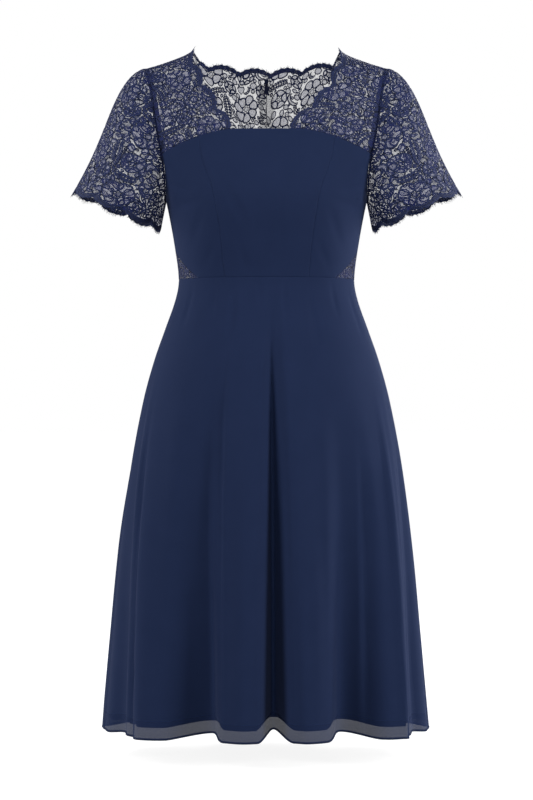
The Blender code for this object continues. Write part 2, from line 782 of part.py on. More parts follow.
def build():
    clear_scene()
    chiffon = cloth_material("navy_chiffon", NAVY_CHIFFON, 0.85)
    lace = cloth_material("navy_lace", NAVY_LACE, 0.75)
    lining_cloth = cloth_material("navy_lining", NAVY_LINING, 0.60)
    enamel = cloth_material("zip_enamel", NAVY_ENAMEL, 0.35)

    bodice_front(chiffon)
    for word, side in (("left", LEFT), ("right", RIGHT)):
        bodice_side_panel(f"bodice_side_{word}", FRONT, side, princess, 2, chiffon)
        bodice_side_panel(f"bodice_back_{word}", BACK, side, centre_back, 4, chiffon)
        waist_inset(f"waist_inset_{word}", side, lace)
        yoke_front(f"yoke_front_{word}", side, lace)
        yoke_back(f"yoke_back_{word}", side, lace)
        sleeve(f"sleeve_{word}", side, lace)
        skirt_back(f"skirt_back_{word}", side, chiffon)
    skirt_front(chiffon)
    lining("lining_front", FRONT_COLUMNS, front_angle, FRONT * HALF_GAP, lining_cloth)
    lining("lining_back", 2 * BACK_COLUMNS, back_angle, BACK * HALF_GAP, lining_cloth)
    centre_back_zip(enamel)


build()
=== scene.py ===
"""The cocktail dress: navy chiffon and corded lace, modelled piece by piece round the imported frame."""

import math
import random

import bmesh
import bpy
import numpy as np
from mathutils import Matrix, Vector


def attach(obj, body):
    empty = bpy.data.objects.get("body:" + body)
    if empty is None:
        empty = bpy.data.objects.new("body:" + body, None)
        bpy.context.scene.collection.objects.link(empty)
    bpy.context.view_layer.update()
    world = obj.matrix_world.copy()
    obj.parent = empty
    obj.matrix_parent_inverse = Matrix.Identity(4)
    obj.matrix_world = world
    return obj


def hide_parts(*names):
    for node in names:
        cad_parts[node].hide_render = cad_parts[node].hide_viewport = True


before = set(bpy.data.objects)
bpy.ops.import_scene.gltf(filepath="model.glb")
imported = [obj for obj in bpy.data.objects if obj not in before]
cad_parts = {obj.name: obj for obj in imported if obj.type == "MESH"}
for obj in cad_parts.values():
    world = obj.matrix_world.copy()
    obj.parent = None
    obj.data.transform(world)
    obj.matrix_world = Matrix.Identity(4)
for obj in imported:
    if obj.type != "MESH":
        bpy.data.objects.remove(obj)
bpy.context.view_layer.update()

# ---------------------------------------------------------------- bodice, centre front
# Chiffon mounted on a firm backing and cut between the two princess seams, from the level top edge
# to the waist. Every seam is pressed open, so each panel's edge rolls in a little along it.

FRONT, BACK = -1, 1
LEFT, RIGHT = 1, -1  # the wearer's
SIDES = (("left", LEFT), ("right", RIGHT))
UNDERARM, WAIST, HEM = 0.252, 0.382, 1.127  # drops below the line between the shoulder seams
HALF_GAP = -0.0001  # half the space at a seam: below 0, so the panels' edges just overlap

DROP, HALF_WIDTH, FRONT_DEPTH, BACK_DEPTH, SQUARENESS = range(5)  # the columns of FORM
FORM = np.array([
    (0.000, 0.2150, 0.085, 0.085, 2.40),
    (0.100, 0.2050, 0.094, 0.100, 2.40),
    (0.142, 0.1975, 0.099, 0.104, 2.40),
    (0.200, 0.1805, 0.118, 0.103, 2.40),
    (UNDERARM, 0.1665, 0.127, 0.099, 2.40),
    (0.322, 0.1530, 0.115, 0.092, 2.40),
    (WAIST, 0.1455, 0.104, 0.088, 2.35),
    (0.415, 0.1510, 0.108, 0.094, 2.30),
    (0.465, 0.1685, 0.120, 0.109, 2.25),
    (0.515, 0.1860, 0.131, 0.121, 2.20),
    (0.581, 0.2040, 0.141, 0.133, 2.15),
    (0.690, 0.2245, 0.152, 0.146, 2.10),
    (0.830, 0.2420, 0.161, 0.157, 2.05),
    (0.980, 0.2550, 0.168, 0.165, 2.00),
    (HEM, 0.2670, 0.173, 0.171, 2.00),
])
OUT = 1  # the second column of the seams' tables, which follows DROP
PRINCESS_SEAM = np.array([
    (0.140, 0.1125),
    (0.188, 0.1050),
    (0.234, 0.0890),
    (0.275, 0.0805),
    (0.323, 0.0735),
    (WAIST, 0.0680),
])
NECK_POINT, SHOULDER_POINT = 0.122, 0.199  # how far out the shoulder seam starts and ends
SHOULDER_FALL, SHOULDER_BEND, SHOULDER_ROUND, NECK_RISE = 0.031, 0.70, 0.140, 0.030
TOP_CENTRE = {FRONT: 0.141, BACK: 0.150}
TOP_LEVEL_TO = {FRONT: 0.050, BACK: 0.060}
TOP_FALL = {FRONT: 0.040, BACK: 0.030}
TOP_EDGE_BEND = 1.7

CLOTH = 0.0009  # chiffon with its backing
SEAM_ROLL, SEAM_DIP = 0.0030, 0.0006  # how wide and how deep an edge rolls in along its seam
ROLL_STEPS = np.array([0.0, 0.0006, 0.0013, 0.0021, SEAM_ROLL])
EDGE_ROUNDS = 6  # a panel's top edge depends on where its points lie, so it is found step by step

# Soft pulls in the cloth: x, drop, half length, half width, heading in degrees from level, depth
FRONT_PULLS = (
    (-0.052, 0.262, 0.060, 0.013, 62, -0.0010),
    (0.047, 0.250, 0.066, 0.014, -66, -0.0011),
    (-0.012, 0.305, 0.075, 0.018, 88, -0.0009),
    (0.021, 0.322, 0.056, 0.012, -84, -0.0008),
    (-0.038, 0.352, 0.034, 0.010, 76, -0.0008),
    (0.004, 0.190, 0.070, 0.022, 4, -0.0008),
    (-0.070, 0.178, 0.038, 0.012, -34, -0.0009),
    (0.078, 0.184, 0.034, 0.011, 38, -0.0008),
)


def smooth(table, column, drop):
    """One column of a table at any drops, on the smooth curve through its rows."""
    drops, values = table[:, DROP], table[:, column]
    last = len(drops) - 1
    here = np.arange(last + 1)
    before, after = np.maximum(here - 1, 0), np.minimum(here + 1, last)
    slope = (values[after] - values[before]) / (drops[after] - drops[before])
    drop = np.clip(drop, drops[0], drops[-1])
    i = np.clip(np.searchsorted(drops, drop) - 1, 0, last - 1)
    span = drops[i + 1] - drops[i]
    t = (drop - drops[i]) / span
    start = values[i] * (1 + 2 * t) * (1 - t) ** 2 + slope[i] * span * t * (1 - t) ** 2
    end = values[i + 1] * t * t * (3 - 2 * t) - slope[i + 1] * span * t * t * (1 - t)
    return start + end


def between(start, end, share):
    return start + (end - start) * share


def ridge(x):
    """Drop of the shoulder line at x."""
    out = np.abs(x)
    way = np.clip((out - NECK_POINT) / (SHOULDER_POINT - NECK_POINT), 0, None)
    neck = NECK_RISE * ((out / NECK_POINT) ** 2 - 1)
    return np.where(out < NECK_POINT, neck, SHOULDER_FALL * way**SHOULDER_BEND)


def form_point(face, side, angle, drop, gap=0.0):
    """Points of the worn form. The angle runs from the centre of the face to the side seam."""
    face, side, angle, drop = np.broadcast_arrays(face, side, angle, drop)
    power = smooth(FORM, SQUARENESS, drop)
    depth = np.where(face == FRONT, smooth(FORM, FRONT_DEPTH, drop), smooth(FORM, BACK_DEPTH, drop))
    sine, cosine = np.clip(np.sin(angle), 0, 1), np.clip(np.cos(angle), 0, 1)
    reach = (sine**power + cosine**power) ** (-1 / power)
    x = smooth(FORM, HALF_WIDTH, drop) * sine * reach
    below = np.clip((drop - ridge(x)) / SHOULDER_ROUND, 0, 1)
    y = depth * cosine * reach * np.sqrt(1 - (1 - below) ** 2) + gap
    return np.stack([side * x, face * y, -drop], axis=-1)


def angle_at(out, drop):
    power = smooth(FORM, SQUARENESS, drop)
    share = np.clip(out / smooth(FORM, HALF_WIDTH, drop), 0, 1)
    return np.arctan2(share, (1 - share**power) ** (1 / power))


def face_point(face, x, drop, gap=0.0):
    return form_point(face, np.where(x >= 0, LEFT, RIGHT), angle_at(np.abs(x), drop), drop, gap)


def top_edge(face, out):
    span = SHOULDER_POINT - NECK_POINT + TOP_LEVEL_TO[face]
    share = np.clip(out - TOP_LEVEL_TO[face], 0, None) / span
    return TOP_CENTRE[face] + TOP_FALL[face] * share**TOP_EDGE_BEND


def princess(drop):
    return smooth(PRINCESS_SEAM, OUT, drop)


def unit(vectors):
    return vectors / np.linalg.norm(vectors, axis=-1, keepdims=True)


def spread(us, vs):
    return np.meshgrid(us, vs, indexing="ij")


def seam_steps(count, length):
    """Shares from 0 to 1 between two seams, close together where the cloth rolls into them."""
    near = ROLL_STEPS / length
    return np.concatenate([near[:-1], np.linspace(near[-1], 1 - near[-1], count), 1 - near[-2::-1]])


def grid_normals(points, middle):
    """Square to a grid of points [column, row], away from the middle of the hollow."""
    across, down = np.gradient(points, axis=0), np.gradient(points, axis=1)
    normal = np.cross(across, down)
    normal /= np.linalg.norm(normal, axis=-1, keepdims=True) + 1e-12
    centre = points[points.shape[0] // 2, points.shape[1] // 2] - middle
    facing = normal[points.shape[0] // 2, points.shape[1] // 2] @ centre
    return normal if facing > 0 else -normal


def swell(share):
    """1 at 0, falling softly to 0 at 1 and beyond."""
    return (1 + np.cos(math.pi * np.clip(np.abs(share), 0, 1))) / 2


def pulls_at(x, drop, pulls):
    """How far the soft pulls move the cloth out."""
    total = np.zeros(np.shape(x))
    for at_x, at_drop, half_length, half_width, heading, depth in pulls:
        turn = math.radians(heading)
        along = (x - at_x) * math.cos(turn) + (drop - at_drop) * math.sin(turn)
        aside = (drop - at_drop) * math.cos(turn) - (x - at_x) * math.sin(turn)
        total += depth * swell(along / half_length) * swell(aside / half_width)
    return total


def seam_dip(us, vs, size, sides="udlr"):
    """How deep the cloth has rolled in, by its distance to the up, down, left and right seams."""
    width, length = size
    u, v = spread(us, vs)
    away = {"l": u * width, "r": (1 - u) * width, "u": v * length, "d": (1 - v) * length}
    near = np.full(u.shape, SEAM_ROLL)
    for side in sides:
        near = np.minimum(near, away[side])
    return SEAM_DIP * (1 - near / SEAM_ROLL) ** 2


def mesh_of(name, bm):
    mesh = bpy.data.meshes.new(name)
    bm.to_mesh(mesh)
    bm.free()
    return mesh


def merge_ends(mesh, distance):
    """Joins the two ends of a piece that runs all the way round."""
    bm = bmesh.new()
    bm.from_mesh(mesh)
    bmesh.ops.remove_doubles(bm, verts=bm.verts, dist=distance)
    bm.to_mesh(mesh)
    bm.free()


def coordinates(mesh):
    flat = np.empty(len(mesh.vertices) * 3, np.float32)
    mesh.vertices.foreach_get("co", flat)
    return flat.reshape(-1, 3).astype(float)


def move_to(mesh, spots):
    mesh.vertices.foreach_set("co", spots.astype(np.float32).ravel())


def lay_flat(mesh, spots, flat):
    """Moves a flat mesh to its spots, and keeps its flat metres as a UV map."""
    corner = np.empty(len(mesh.loops), int)
    mesh.loops.foreach_get("vertex_index", corner)
    uv = flat[corner, :2].astype(np.float32)
    mesh.uv_layers.new(name="flat").uv.foreach_set("vector", uv.ravel())
    move_to(mesh, spots)
    mesh.update()
    mesh.shade_smooth()


def cloth_mesh(name, points, us, vs, size, middle, closed=False):
    """A flat grid laid on the points, facing away from the middle."""
    columns, rows = len(us) - 1, len(vs) - 1
    bm = bmesh.new()
    bmesh.ops.create_grid(bm, x_segments=columns, y_segments=rows, size=0.5)
    mesh = mesh_of(name, bm)
    column, row, _ = np.rint((coordinates(mesh) + 0.5) * (columns, rows, 0)).astype(int).T
    lay_flat(mesh, points[column, row], np.stack([us[column] * size[0], vs[row] * size[1]], axis=-1))
    probe = mesh.polygons[len(mesh.polygons) // 2]
    if (probe.center - Vector(middle)).dot(probe.normal) < 0:
        mesh.flip_normals()
    if closed:
        merge_ends(mesh, 1e-6)
    return mesh


def finished(name, mesh, materials, thickness=0.0, replaces=None):
    """Makes a mesh a piece of the dress. A thickness lies wholly on the wrong side of its face."""
    for material in materials:
        mesh.materials.append(material)
    piece = bpy.data.objects.new(name, mesh)
    bpy.context.scene.collection.objects.link(piece)
    if thickness:
        wall = piece.modifiers.new("cloth", "SOLIDIFY")
        wall.thickness = thickness
        wall.offset = -1
    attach(piece, "dress")
    if replaces:
        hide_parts(replaces)
    return piece


def shade(material, kind, output, inputs, **settings):
    """A shader node: `inputs` are values or other nodes' outputs. Returns the named output."""
    node = material.node_tree.nodes.new("ShaderNode" + kind)
    for setting, value in settings.items():
        setattr(node, setting, value)
    feed(material, node, inputs)
    return node.outputs[output]


def feed(material, node, inputs):
    for socket, value in inputs.items():
        if isinstance(value, bpy.types.NodeSocket):
            material.node_tree.links.new(value, node.inputs[socket])
        else:
            node.inputs[socket].default_value = value


def new_material(name, inputs):
    """A material and its shader, with the values that are the same all over the surface."""
    material = bpy.data.materials.new(name)
    material.use_nodes = True
    shader = material.node_tree.nodes["Principled BSDF"]
    feed(material, shader, inputs)
    return material, shader


def two_tones(material, shader, share, other, bump, colour, pale):
    """Shades a cloth from its colour to a paler one where both patterns are high."""
    both = shade(material, "Math", "Value", {0: share, 1: other}, operation="MULTIPLY")
    tones = {"Factor": both, "A": (*colour, 1), "B": (*pale, 1)}
    tone = shade(material, "Mix", "Result", tones, data_type="RGBA")
    feed(material, shader, {"Normal": bump, "Base Color": tone})


def chiffon(name, colour, pale, sheer=0.0):
    """Matt crepe chiffon: a fine plain weave with crimped yarns and a soft bloom at grazing angles."""
    material, shader = new_material(name, {
        "Roughness": 0.78, "Specular IOR Level": 0.08,
        "Sheen Weight": 0.14, "Sheen Roughness": 0.42, "Sheen Tint": (0.36, 0.44, 0.80, 1),
    })
    flat = shade(material, "UVMap", "UV", {}, uv_map="flat")
    yarn = {"Vector": flat, "Distortion": 1.6, "Detail": 1.0, "Detail Scale": 0.4}
    warp = shade(material, "TexWave", "Fac", {**yarn, "Scale": 610}, bands_direction="X")
    weft = shade(material, "TexWave", "Fac", {**yarn, "Scale": 560}, bands_direction="Y")
    weave = shade(material, "Math", "Value", {0: warp, 1: weft}, operation="MULTIPLY")
    crepe = shade(material, "TexNoise", "Fac", {"Vector": flat, "Scale": 720, "Detail": 3})
    relief = shade(material, "Mix", "Result", {"Factor": 0.55, "A": weave, "B": crepe})
    bump = shade(material, "Bump", "Normal", {"Height": relief, "Strength": 0.22, "Distance": 0.0003})
    cloud = shade(material, "TexNoise", "Fac", {"Vector": flat, "Scale": 22, "Detail": 4})
    two_tones(material, shader, cloud, relief, bump, colour, pale)
    if sheer:
        range_of_cover = {"Value": crepe, "To Min": 1 - sheer - 0.12, "To Max": 1 - sheer + 0.12}
        feed(material, shader, {"Alpha": shade(material, "MapRange", "Result", range_of_cover)})
    return material


navy_chiffon = chiffon("navy_chiffon", (0.0122, 0.0228, 0.0670), (0.0200, 0.0335, 0.0930))
BODICE_MIDDLE = np.array((0, 0, -0.27))


def bodice_front():
    size = (0.178, 0.245)
    us, vs = seam_steps(50, size[0]), seam_steps(52, size[1])
    u, v = spread(us, vs)
    across = 2 * u - 1
    top = np.full(u.shape, TOP_CENTRE[FRONT])
    for _ in range(EDGE_ROUNDS):
        top = top_edge(FRONT, np.abs(across) * princess(top)) + HALF_GAP
    drop = between(top, WAIST - HALF_GAP, v)
    x = across * (princess(drop) - HALF_GAP)
    points = face_point(FRONT, x, drop)
    out = pulls_at(x, drop, FRONT_PULLS) - seam_dip(us, vs, size)
    points += grid_normals(points, BODICE_MIDDLE) * out[..., None]
    mesh = cloth_mesh("bodice_front", points, us, vs, size, BODICE_MIDDLE)
    piece = finished(
        "bodice_front_chiffon", mesh, [navy_chiffon], CLOTH, "bodice_front"
    )


bodice_front()

# ---------------------------------------------------------------- bodice, sides and backs
# Two side fronts run from the princess seams to the side seams, and two backs from there to the
# centre back opening. Above the side seam each is cut away to the armhole, and below it to the lace
# triangle that is let in at the waist. A dart shapes each back above the waist.

ARMHOLE = np.array([
    (SHOULDER_FALL, SHOULDER_POINT),
    (0.060, 0.1905),
    (0.095, 0.1850),
    (0.144, 0.1780),
    (0.183, 0.1700),
    (0.221, 0.1660),
    (UNDERARM, 0.1665),
])
INSET_TIP, INSET_CORNER, INSET_BOW, INSET_BLUNT = 0.332, math.radians(48), 1.45, 0.0015
ZIP_SLIT, ZIP_TOP, ZIP_END, ZIP_CLOSING = 0.0012, 0.045, 0.560, 0.02
DART_SHARE, DART_TOP, DART_FADE, DART_DIP, DART_HALF_WIDTH = 0.42, 0.235, 0.03, 0.0010, 0.0022

SIDE_PULLS = (
    (0.128, 0.262, 0.040, 0.011, 12, -0.0012),
    (0.112, 0.300, 0.052, 0.012, 72, -0.0010),
    (0.140, 0.236, 0.026, 0.008, -24, -0.0010),
    (0.092, 0.345, 0.034, 0.010, 66, -0.0009),
)
BACK_PULLS = (
    (0.030, 0.250, 0.070, 0.016, 80, -0.0012),
    (0.100, 0.230, 0.052, 0.012, -38, -0.0014),
    (0.118, 0.290, 0.048, 0.011, -14, -0.0012),
    (0.045, 0.352, 0.040, 0.009, 14, -0.0013),
    (0.026, 0.332, 0.030, 0.008, -10, -0.0011),
    (0.085, 0.180, 0.050, 0.013, 24, -0.0010),
)


def centre_back(drop):
    """Half the space between the two centre back edges."""
    return between(ZIP_SLIT - HALF_GAP, 0, np.clip((drop - ZIP_END) / ZIP_CLOSING, 0, 1))


def inset_edge(angle):
    """Drop of the lace triangle's long edge."""
    share = np.clip((math.pi / 2 - angle) / (math.pi / 2 - INSET_CORNER), 0, 1)
    return between(INSET_TIP, WAIST - INSET_BLUNT, share**INSET_BOW)


def bodice_side(name, face, side, inner, pulls, dart):
    size = (0.125, 0.190) if face == FRONT else (0.205, 0.200)
    start = angle_at(inner(WAIST), WAIST)
    corner = (INSET_CORNER - start) / (math.pi / 2 - start)
    us = np.union1d(seam_steps(44 if face == FRONT else 60, size[0]), [corner])
    if dart:
        beside = np.array([-1.2, -0.8, -0.45, 0, 0.45, 0.8, 1.2]) * DART_HALF_WIDTH / size[0]
        us = np.union1d(us, DART_SHARE + beside)
    vs = seam_steps(50, size[1])
    u, v = spread(us, vs)

    def angle_of(drop):
        hole = angle_at(smooth(ARMHOLE, OUT, drop) - HALF_GAP, drop)
        outer = np.where(drop >= UNDERARM, math.pi / 2, hole)
        return between(angle_at(inner(drop) + HALF_GAP, drop), outer, u)

    top = np.full(u.shape, TOP_CENTRE[face])
    for _ in range(EDGE_ROUNDS):
        out = np.abs(form_point(face, side, angle_of(top), top)[..., 0])
        top = top_edge(face, out) + HALF_GAP
    edge = inset_edge(angle_of(np.full(u.shape, WAIST))) - HALF_GAP
    drop = between(top, np.where(u >= corner, edge, WAIST - HALF_GAP), v)
    points = form_point(face, side, angle_of(drop), drop, HALF_GAP)
    out = pulls_at(np.abs(points[..., 0]), drop, pulls) - seam_dip(us, vs, size)
    if dart:
        fade = np.clip((drop - DART_TOP) / DART_FADE, 0, 1)
        out = out - DART_DIP * swell((u - DART_SHARE) * size[0] / DART_HALF_WIDTH) * fade
    points += grid_normals(points, BODICE_MIDDLE) * out[..., None]
    mesh = cloth_mesh(name, points, us, vs, size, BODICE_MIDDLE)
    return finished(name + "_chiffon", mesh, [navy_chiffon], CLOTH, name)


for word, side in SIDES:
    piece = bodice_side(f"bodice_side_{word}", FRONT, side, princess, SIDE_PULLS, dart=False)
    piece = bodice_side(f"bodice_back_{word}", BACK, side, centre_back, BACK_PULLS, dart=True)

# ---------------------------------------------------------------- skirt
# Three panels of chiffon hang from the waist in deep soft folds, front, back left and back right.
# The lining stops short of the hem, so the last stretch is sheer, down to a narrow rolled hem.

# Deep folds: the angle where one starts and its angle at the hem, in degrees round from the centre
# front and + to the wearer's left, half width, depth (+ a ridge, - a valley), start's drop, lean
FOLDS = (
    (3.5, 3.0, 6.4, -0.066, 0.390, 0.0),
    (-8, -8, 9, 0.012, 0.500, 0.0),
    (-27, -21.5, 19, -0.044, 0.500, -2.2),
    (-66, -48, 17, 0.017, 0.480, 1.2),
    (-72, -66, 12, -0.014, 0.560, 0.0),
    (13, 14, 9, 0.013, 0.520, -0.5),
    (34, 30.5, 16, -0.048, 0.540, -0.7),
    (68, 53, 17, 0.017, 0.480, 1.2),
    (76, 70, 11, -0.012, 0.560, 0.0),
    (96, 98, 12, 0.006, 0.600, 0.0),
    (-99, -97, 13, 0.007, 0.620, 0.0),
    (114, 116, 14, -0.020, 0.520, 0.0),
    (-118, -119, 12, -0.017, 0.560, 0.0),
    (134, 133, 15, 0.014, 0.480, 0.6),
    (-137, -136, 14, 0.015, 0.500, 0.4),
    (154, 152, 13, -0.027, 0.450, 0.0),
    (-157, -155, 12, -0.023, 0.470, 0.0),
    (171, 170, 12, 0.012, 0.470, 0.0),
    (-172, -172, 11, 0.011, 0.480, 0.0),
)
FOLD_GROWTH, HEM_LIFT = 1.4, 0.20
FRONT_CROWDING = 0.4  # how much closer together the front's columns stand at its centre
LINING_HEM, LINING_INSET = 1.107, 0.0050
CHIFFON = 0.0006
SHEER_FROM = 0.960  # the share of the way down from which the chiffon has no lining behind it
HEM_ROLL_HEIGHT, HEM_ROLL_THICKNESS = 0.0036, 0.0015
SKIRT_MIDDLE = np.array((0, 0, -0.75))

# Softer pulls that leave the waist seam between the folds: angle, drop, half length, half width, depth
WAIST_PULLS = (
    (-52, 0.430, 0.050, 4.0, -0.0016),
    (-33, 0.418, 0.034, 3.0, -0.0012),
    (-20, 0.445, 0.058, 3.6, -0.0014),
    (-4, 0.412, 0.028, 2.6, -0.0010),
    (11, 0.425, 0.040, 3.0, -0.0012),
    (27, 0.450, 0.062, 3.8, -0.0015),
    (44, 0.420, 0.036, 3.2, -0.0012),
    (62, 0.440, 0.055, 4.2, -0.0015),
    (-75, 0.425, 0.040, 4.0, -0.0012),
    (108, 0.430, 0.046, 4.0, -0.0014),
    (127, 0.445, 0.060, 3.6, -0.0015),
    (146, 0.420, 0.038, 3.0, -0.0012),
    (166, 0.440, 0.056, 3.4, -0.0014),
    (-104, 0.425, 0.042, 3.8, -0.0013),
    (-129, 0.446, 0.064, 3.6, -0.0015),
    (-148, 0.418, 0.036, 3.2, -0.0012),
    (-163, 0.438, 0.052, 3.2, -0.0014),
)


# Long soft creases in the chiffon itself: angles where one starts and ends, drops where it starts and
# ends, half width, depth (+ a ridge, - a trough), how much steeper its side by the centre front is
CREASES = (
    (-20.0, -16.2, 0.480, 1.160, 11.0, -0.0085, 8.0),
    (2.2, 2.6, 0.400, 1.150, 2.6, -0.0090, 1.0),
    (-62.0, -53.5, 0.560, 1.180, 3.6, -0.0060, 1.6),
    (-66.0, -59.5, 0.520, 1.200, 4.2, 0.0045, 1.0),
    (19.0, 20.0, 0.760, 1.190, 4.8, 0.0030, 1.0),
    (43.0, 40.0, 0.620, 1.170, 7.0, -0.0060, 3.0),
    (60.0, 53.0, 0.540, 1.190, 4.0, 0.0060, 1.3),
    (77.0, 71.0, 0.600, 1.160, 5.0, -0.0045, 1.0),
    (99.0, 101.0, 0.560, 1.180, 4.4, -0.0060, 1.8),
    (-95.0, -99.0, 0.640, 1.190, 5.2, 0.0050, 1.2),
    (122.0, 118.0, 0.520, 1.170, 7.5, -0.0075, 3.4),
    (-124.0, -121.0, 0.580, 1.160, 6.0, -0.0065, 2.2),
    (146.0, 149.0, 0.450, 1.180, 8.0, -0.0080, 4.0),
    (-150.0, -152.0, 0.500, 1.190, 6.6, -0.0070, 2.6),
    (-166.0, -165.0, 0.620, 1.170, 4.0, 0.0040, 1.0),
)


def smooth_step(share):
    share = np.clip(share, 0, 1)
    return share * share * (3 - 2 * share)


def creases(angle, drop):
    total = np.zeros(np.broadcast(angle, drop).shape)
    for first, last, start, end, half_width, depth, steep in CREASES:
        way = np.clip((drop - start) / (end - start), 0, 1)
        off = (angle - between(first, last, way)) * (-1 if first < 0 else 1)
        off = off * np.where(off < 0, steep, 1) / half_width
        grown = smooth_step(way / 0.35) * (1 - 0.45 * smooth_step((way - 0.75) / 0.25))
        total = total + depth * grown * swell(off)
    return total


def fold_depth(angle, drop):
    """How far the folds move the skirt out, at angles in degrees from the centre front."""
    total = np.zeros(np.broadcast(angle, drop).shape)
    for hip_angle, hem_angle, half_width, depth, start, lean in FOLDS:
        way = np.clip((drop - start) / (HEM - start), 0, 1)
        centre = between(hip_angle, hem_angle, way)
        off = (angle - centre + 180) % 360 - 180
        off = np.where(centre < 0, -off, off)
        steep = np.where(off * lean > 0, 1 + abs(lean), 1)
        total = total + depth * way**FOLD_GROWTH * swell(off * steep / half_width)
    return total


def waist_pulls(angle, drop):
    total = np.zeros(np.broadcast(angle, drop).shape)
    for at_angle, at_drop, half_length, half_width, depth in WAIST_PULLS:
        aside, along = (angle - at_angle) / half_width, (drop - at_drop) / half_length
        total = total + depth * swell(aside) * swell(along)
    return total


def skirt_face(angle, drop, shift=0.0):
    """Points of the skirt's face, with its folds."""
    side = np.where(angle >= 0, LEFT, RIGHT)
    face = np.where(np.abs(angle) <= 90, FRONT, BACK)
    turn = np.radians(np.where(face == FRONT, np.abs(angle), 180 - np.abs(angle)))
    half_width = smooth(FORM, HALF_WIDTH, drop)
    depth = np.where(face == FRONT, smooth(FORM, FRONT_DEPTH, drop), smooth(FORM, BACK_DEPTH, drop))
    out = np.stack([side * np.sin(turn) / half_width, face * np.cos(turn) / depth], axis=-1)
    points = form_point(face, side, turn, drop)
    points[..., 1] += shift
    relief = fold_depth(angle, drop) + waist_pulls(angle, drop) + creases(angle, drop)
    points[..., :2] += unit(out) * relief[..., None]
    return points


def hem_drop(angle, level):
    return level + HEM_LIFT * np.minimum(fold_depth(angle, HEM), 0)


def front_angle(u):
    across = 2 * u - 1
    return 90 * across * (1 - FRONT_CROWDING + FRONT_CROWDING * across**2)


def skirt_points(face, side, us, vs, top, level):
    """A panel of the skirt as a grid: us run seam to seam and vs from the waist to the hem."""
    u, v = spread(us, vs)
    angle = front_angle(u) if face == FRONT else side * between(90.0, 180.0, u)
    drop = between(top, hem_drop(angle, level), v)
    points = skirt_face(angle, drop, face * HALF_GAP)
    if face == BACK:
        points[..., 0] += side * u * (centre_back(drop) + HALF_GAP)
    return points


def hem_steps(rows):
    """Shares down the skirt, closer together by the waist seam and by the hem."""
    near_waist = ROLL_STEPS / (HEM - WAIST)
    body = np.linspace(near_waist[-1], SHEER_FROM, rows)[1:]
    sheer = np.linspace(SHEER_FROM, 1, 7)[1:]
    return np.concatenate([near_waist, body, sheer])


navy_sheer = chiffon("navy_chiffon_sheer", (0.0140, 0.0260, 0.0780), (0.0240, 0.0410, 0.1150), 0.24)
navy_hem = chiffon("navy_chiffon_hem", (0.0100, 0.0180, 0.0520), (0.0170, 0.0280, 0.0760))


def skirt_panel(name, face, side, columns, size):
    us, vs = seam_steps(columns, size[0]), hem_steps(96)
    points = skirt_points(face, side, us, vs, WAIST + HALF_GAP, HEM)
    normals = grid_normals(points, SKIRT_MIDDLE)
    dip = seam_dip(us, vs, size, "ulr")
    points -= normals * dip[..., None]
    mesh = cloth_mesh(name, points, us, vs, size, SKIRT_MIDDLE)
    uv = np.empty(len(mesh.loops) * 2, np.float32)
    mesh.uv_layers["flat"].uv.foreach_get("vector", uv)
    low = uv.reshape(-1, 4, 2)[..., 1].min(axis=1) / size[1]
    mesh.polygons.foreach_set("material_index", (low > SHEER_FROM - 1e-4).astype(np.int32))
    chiffons = [navy_chiffon, navy_sheer]
    piece = finished(name + "_chiffon", mesh, chiffons, CHIFFON, name)

    roll_vs = np.linspace(1 - HEM_ROLL_HEIGHT / size[1], 1, 4)
    roll = skirt_points(face, side, us, roll_vs, WAIST + HALF_GAP, HEM)
    rise = np.array([0.2, 1, 1, 0.2]) * (HEM_ROLL_THICKNESS - CHIFFON) / 2
    roll += grid_normals(roll, SKIRT_MIDDLE) * rise[None, :, None]
    roll_mesh = cloth_mesh(name + "_hem", roll, us, roll_vs, size, SKIRT_MIDDLE)
    hem = finished(name + "_rolled_hem", roll_mesh, [navy_hem], HEM_ROLL_THICKNESS)
    return piece, hem


piece, hem = skirt_panel("skirt_front", FRONT, LEFT, 150, (0.640, 0.760))
for word, side in SIDES:
    piece, hem = skirt_panel(f"skirt_back_{word}", BACK, side, 76, (0.320, 0.760))

# ---------------------------------------------------------------- skirt lining
# A plain matt lining in two panels, front and back. It hangs inside the skirt from the waist seam,
# takes up the skirt's folds, and ends 20 mm above its hem.

LINING_CLOTH = 0.0005
LINING_SIZE = (0.62, 0.72)  # along its waist and down its middle


def lining_panel(name, face, columns):
    us, vs = np.linspace(0, 1, columns), np.linspace(0, 1, 44) ** 1.3
    u, v = spread(us, vs)
    angle = front_angle(u) if face == FRONT else between(90.0, 270.0, u)
    angle = np.where(angle > 180, angle - 360, angle)
    drop = between(WAIST + LINING_INSET, hem_drop(angle, LINING_HEM), v)
    points = skirt_face(angle, drop, face * HALF_GAP)
    points -= grid_normals(points, SKIRT_MIDDLE) * LINING_INSET
    mesh = cloth_mesh(name, points, us, vs, LINING_SIZE, SKIRT_MIDDLE)
    piece = finished(name + "_cloth", mesh, [navy_lining], LINING_CLOTH, name)


navy_lining = chiffon("navy_lining", (0.0110, 0.0165, 0.0430), (0.0160, 0.0240, 0.0600))
lining_panel("lining_front", FRONT, 110)
lining_panel("lining_back", BACK, 90)

# ---------------------------------------------------------------- lace, the flat repeat
# Corded lace: flowers, scrolls and leaves of open clothwork, each outlined with a laid cord, and small
# cells that fill in between them. It is drawn flat, once, as a repeat that covers every lace panel.

REPEAT_WIDTH, REPEAT_HEIGHT = 0.125, 0.109
CORD_WIDTH, FINE_CORD = 0.0024, 0.0018
CORD_RISE, CLOTHWORK_RISE = 0.00042, 0.00012
CLOTHWORK = 1  # the figures' second material slot, as their cords have the first
PETAL_SEGMENTS, CELL_SEGMENTS, SMALL_CELL_SEGMENTS = 12, 8, 6
PETAL_SWELL, PETAL_OVERLAP, HEART_CLEARANCE = 0.38, 1.20, 0.92

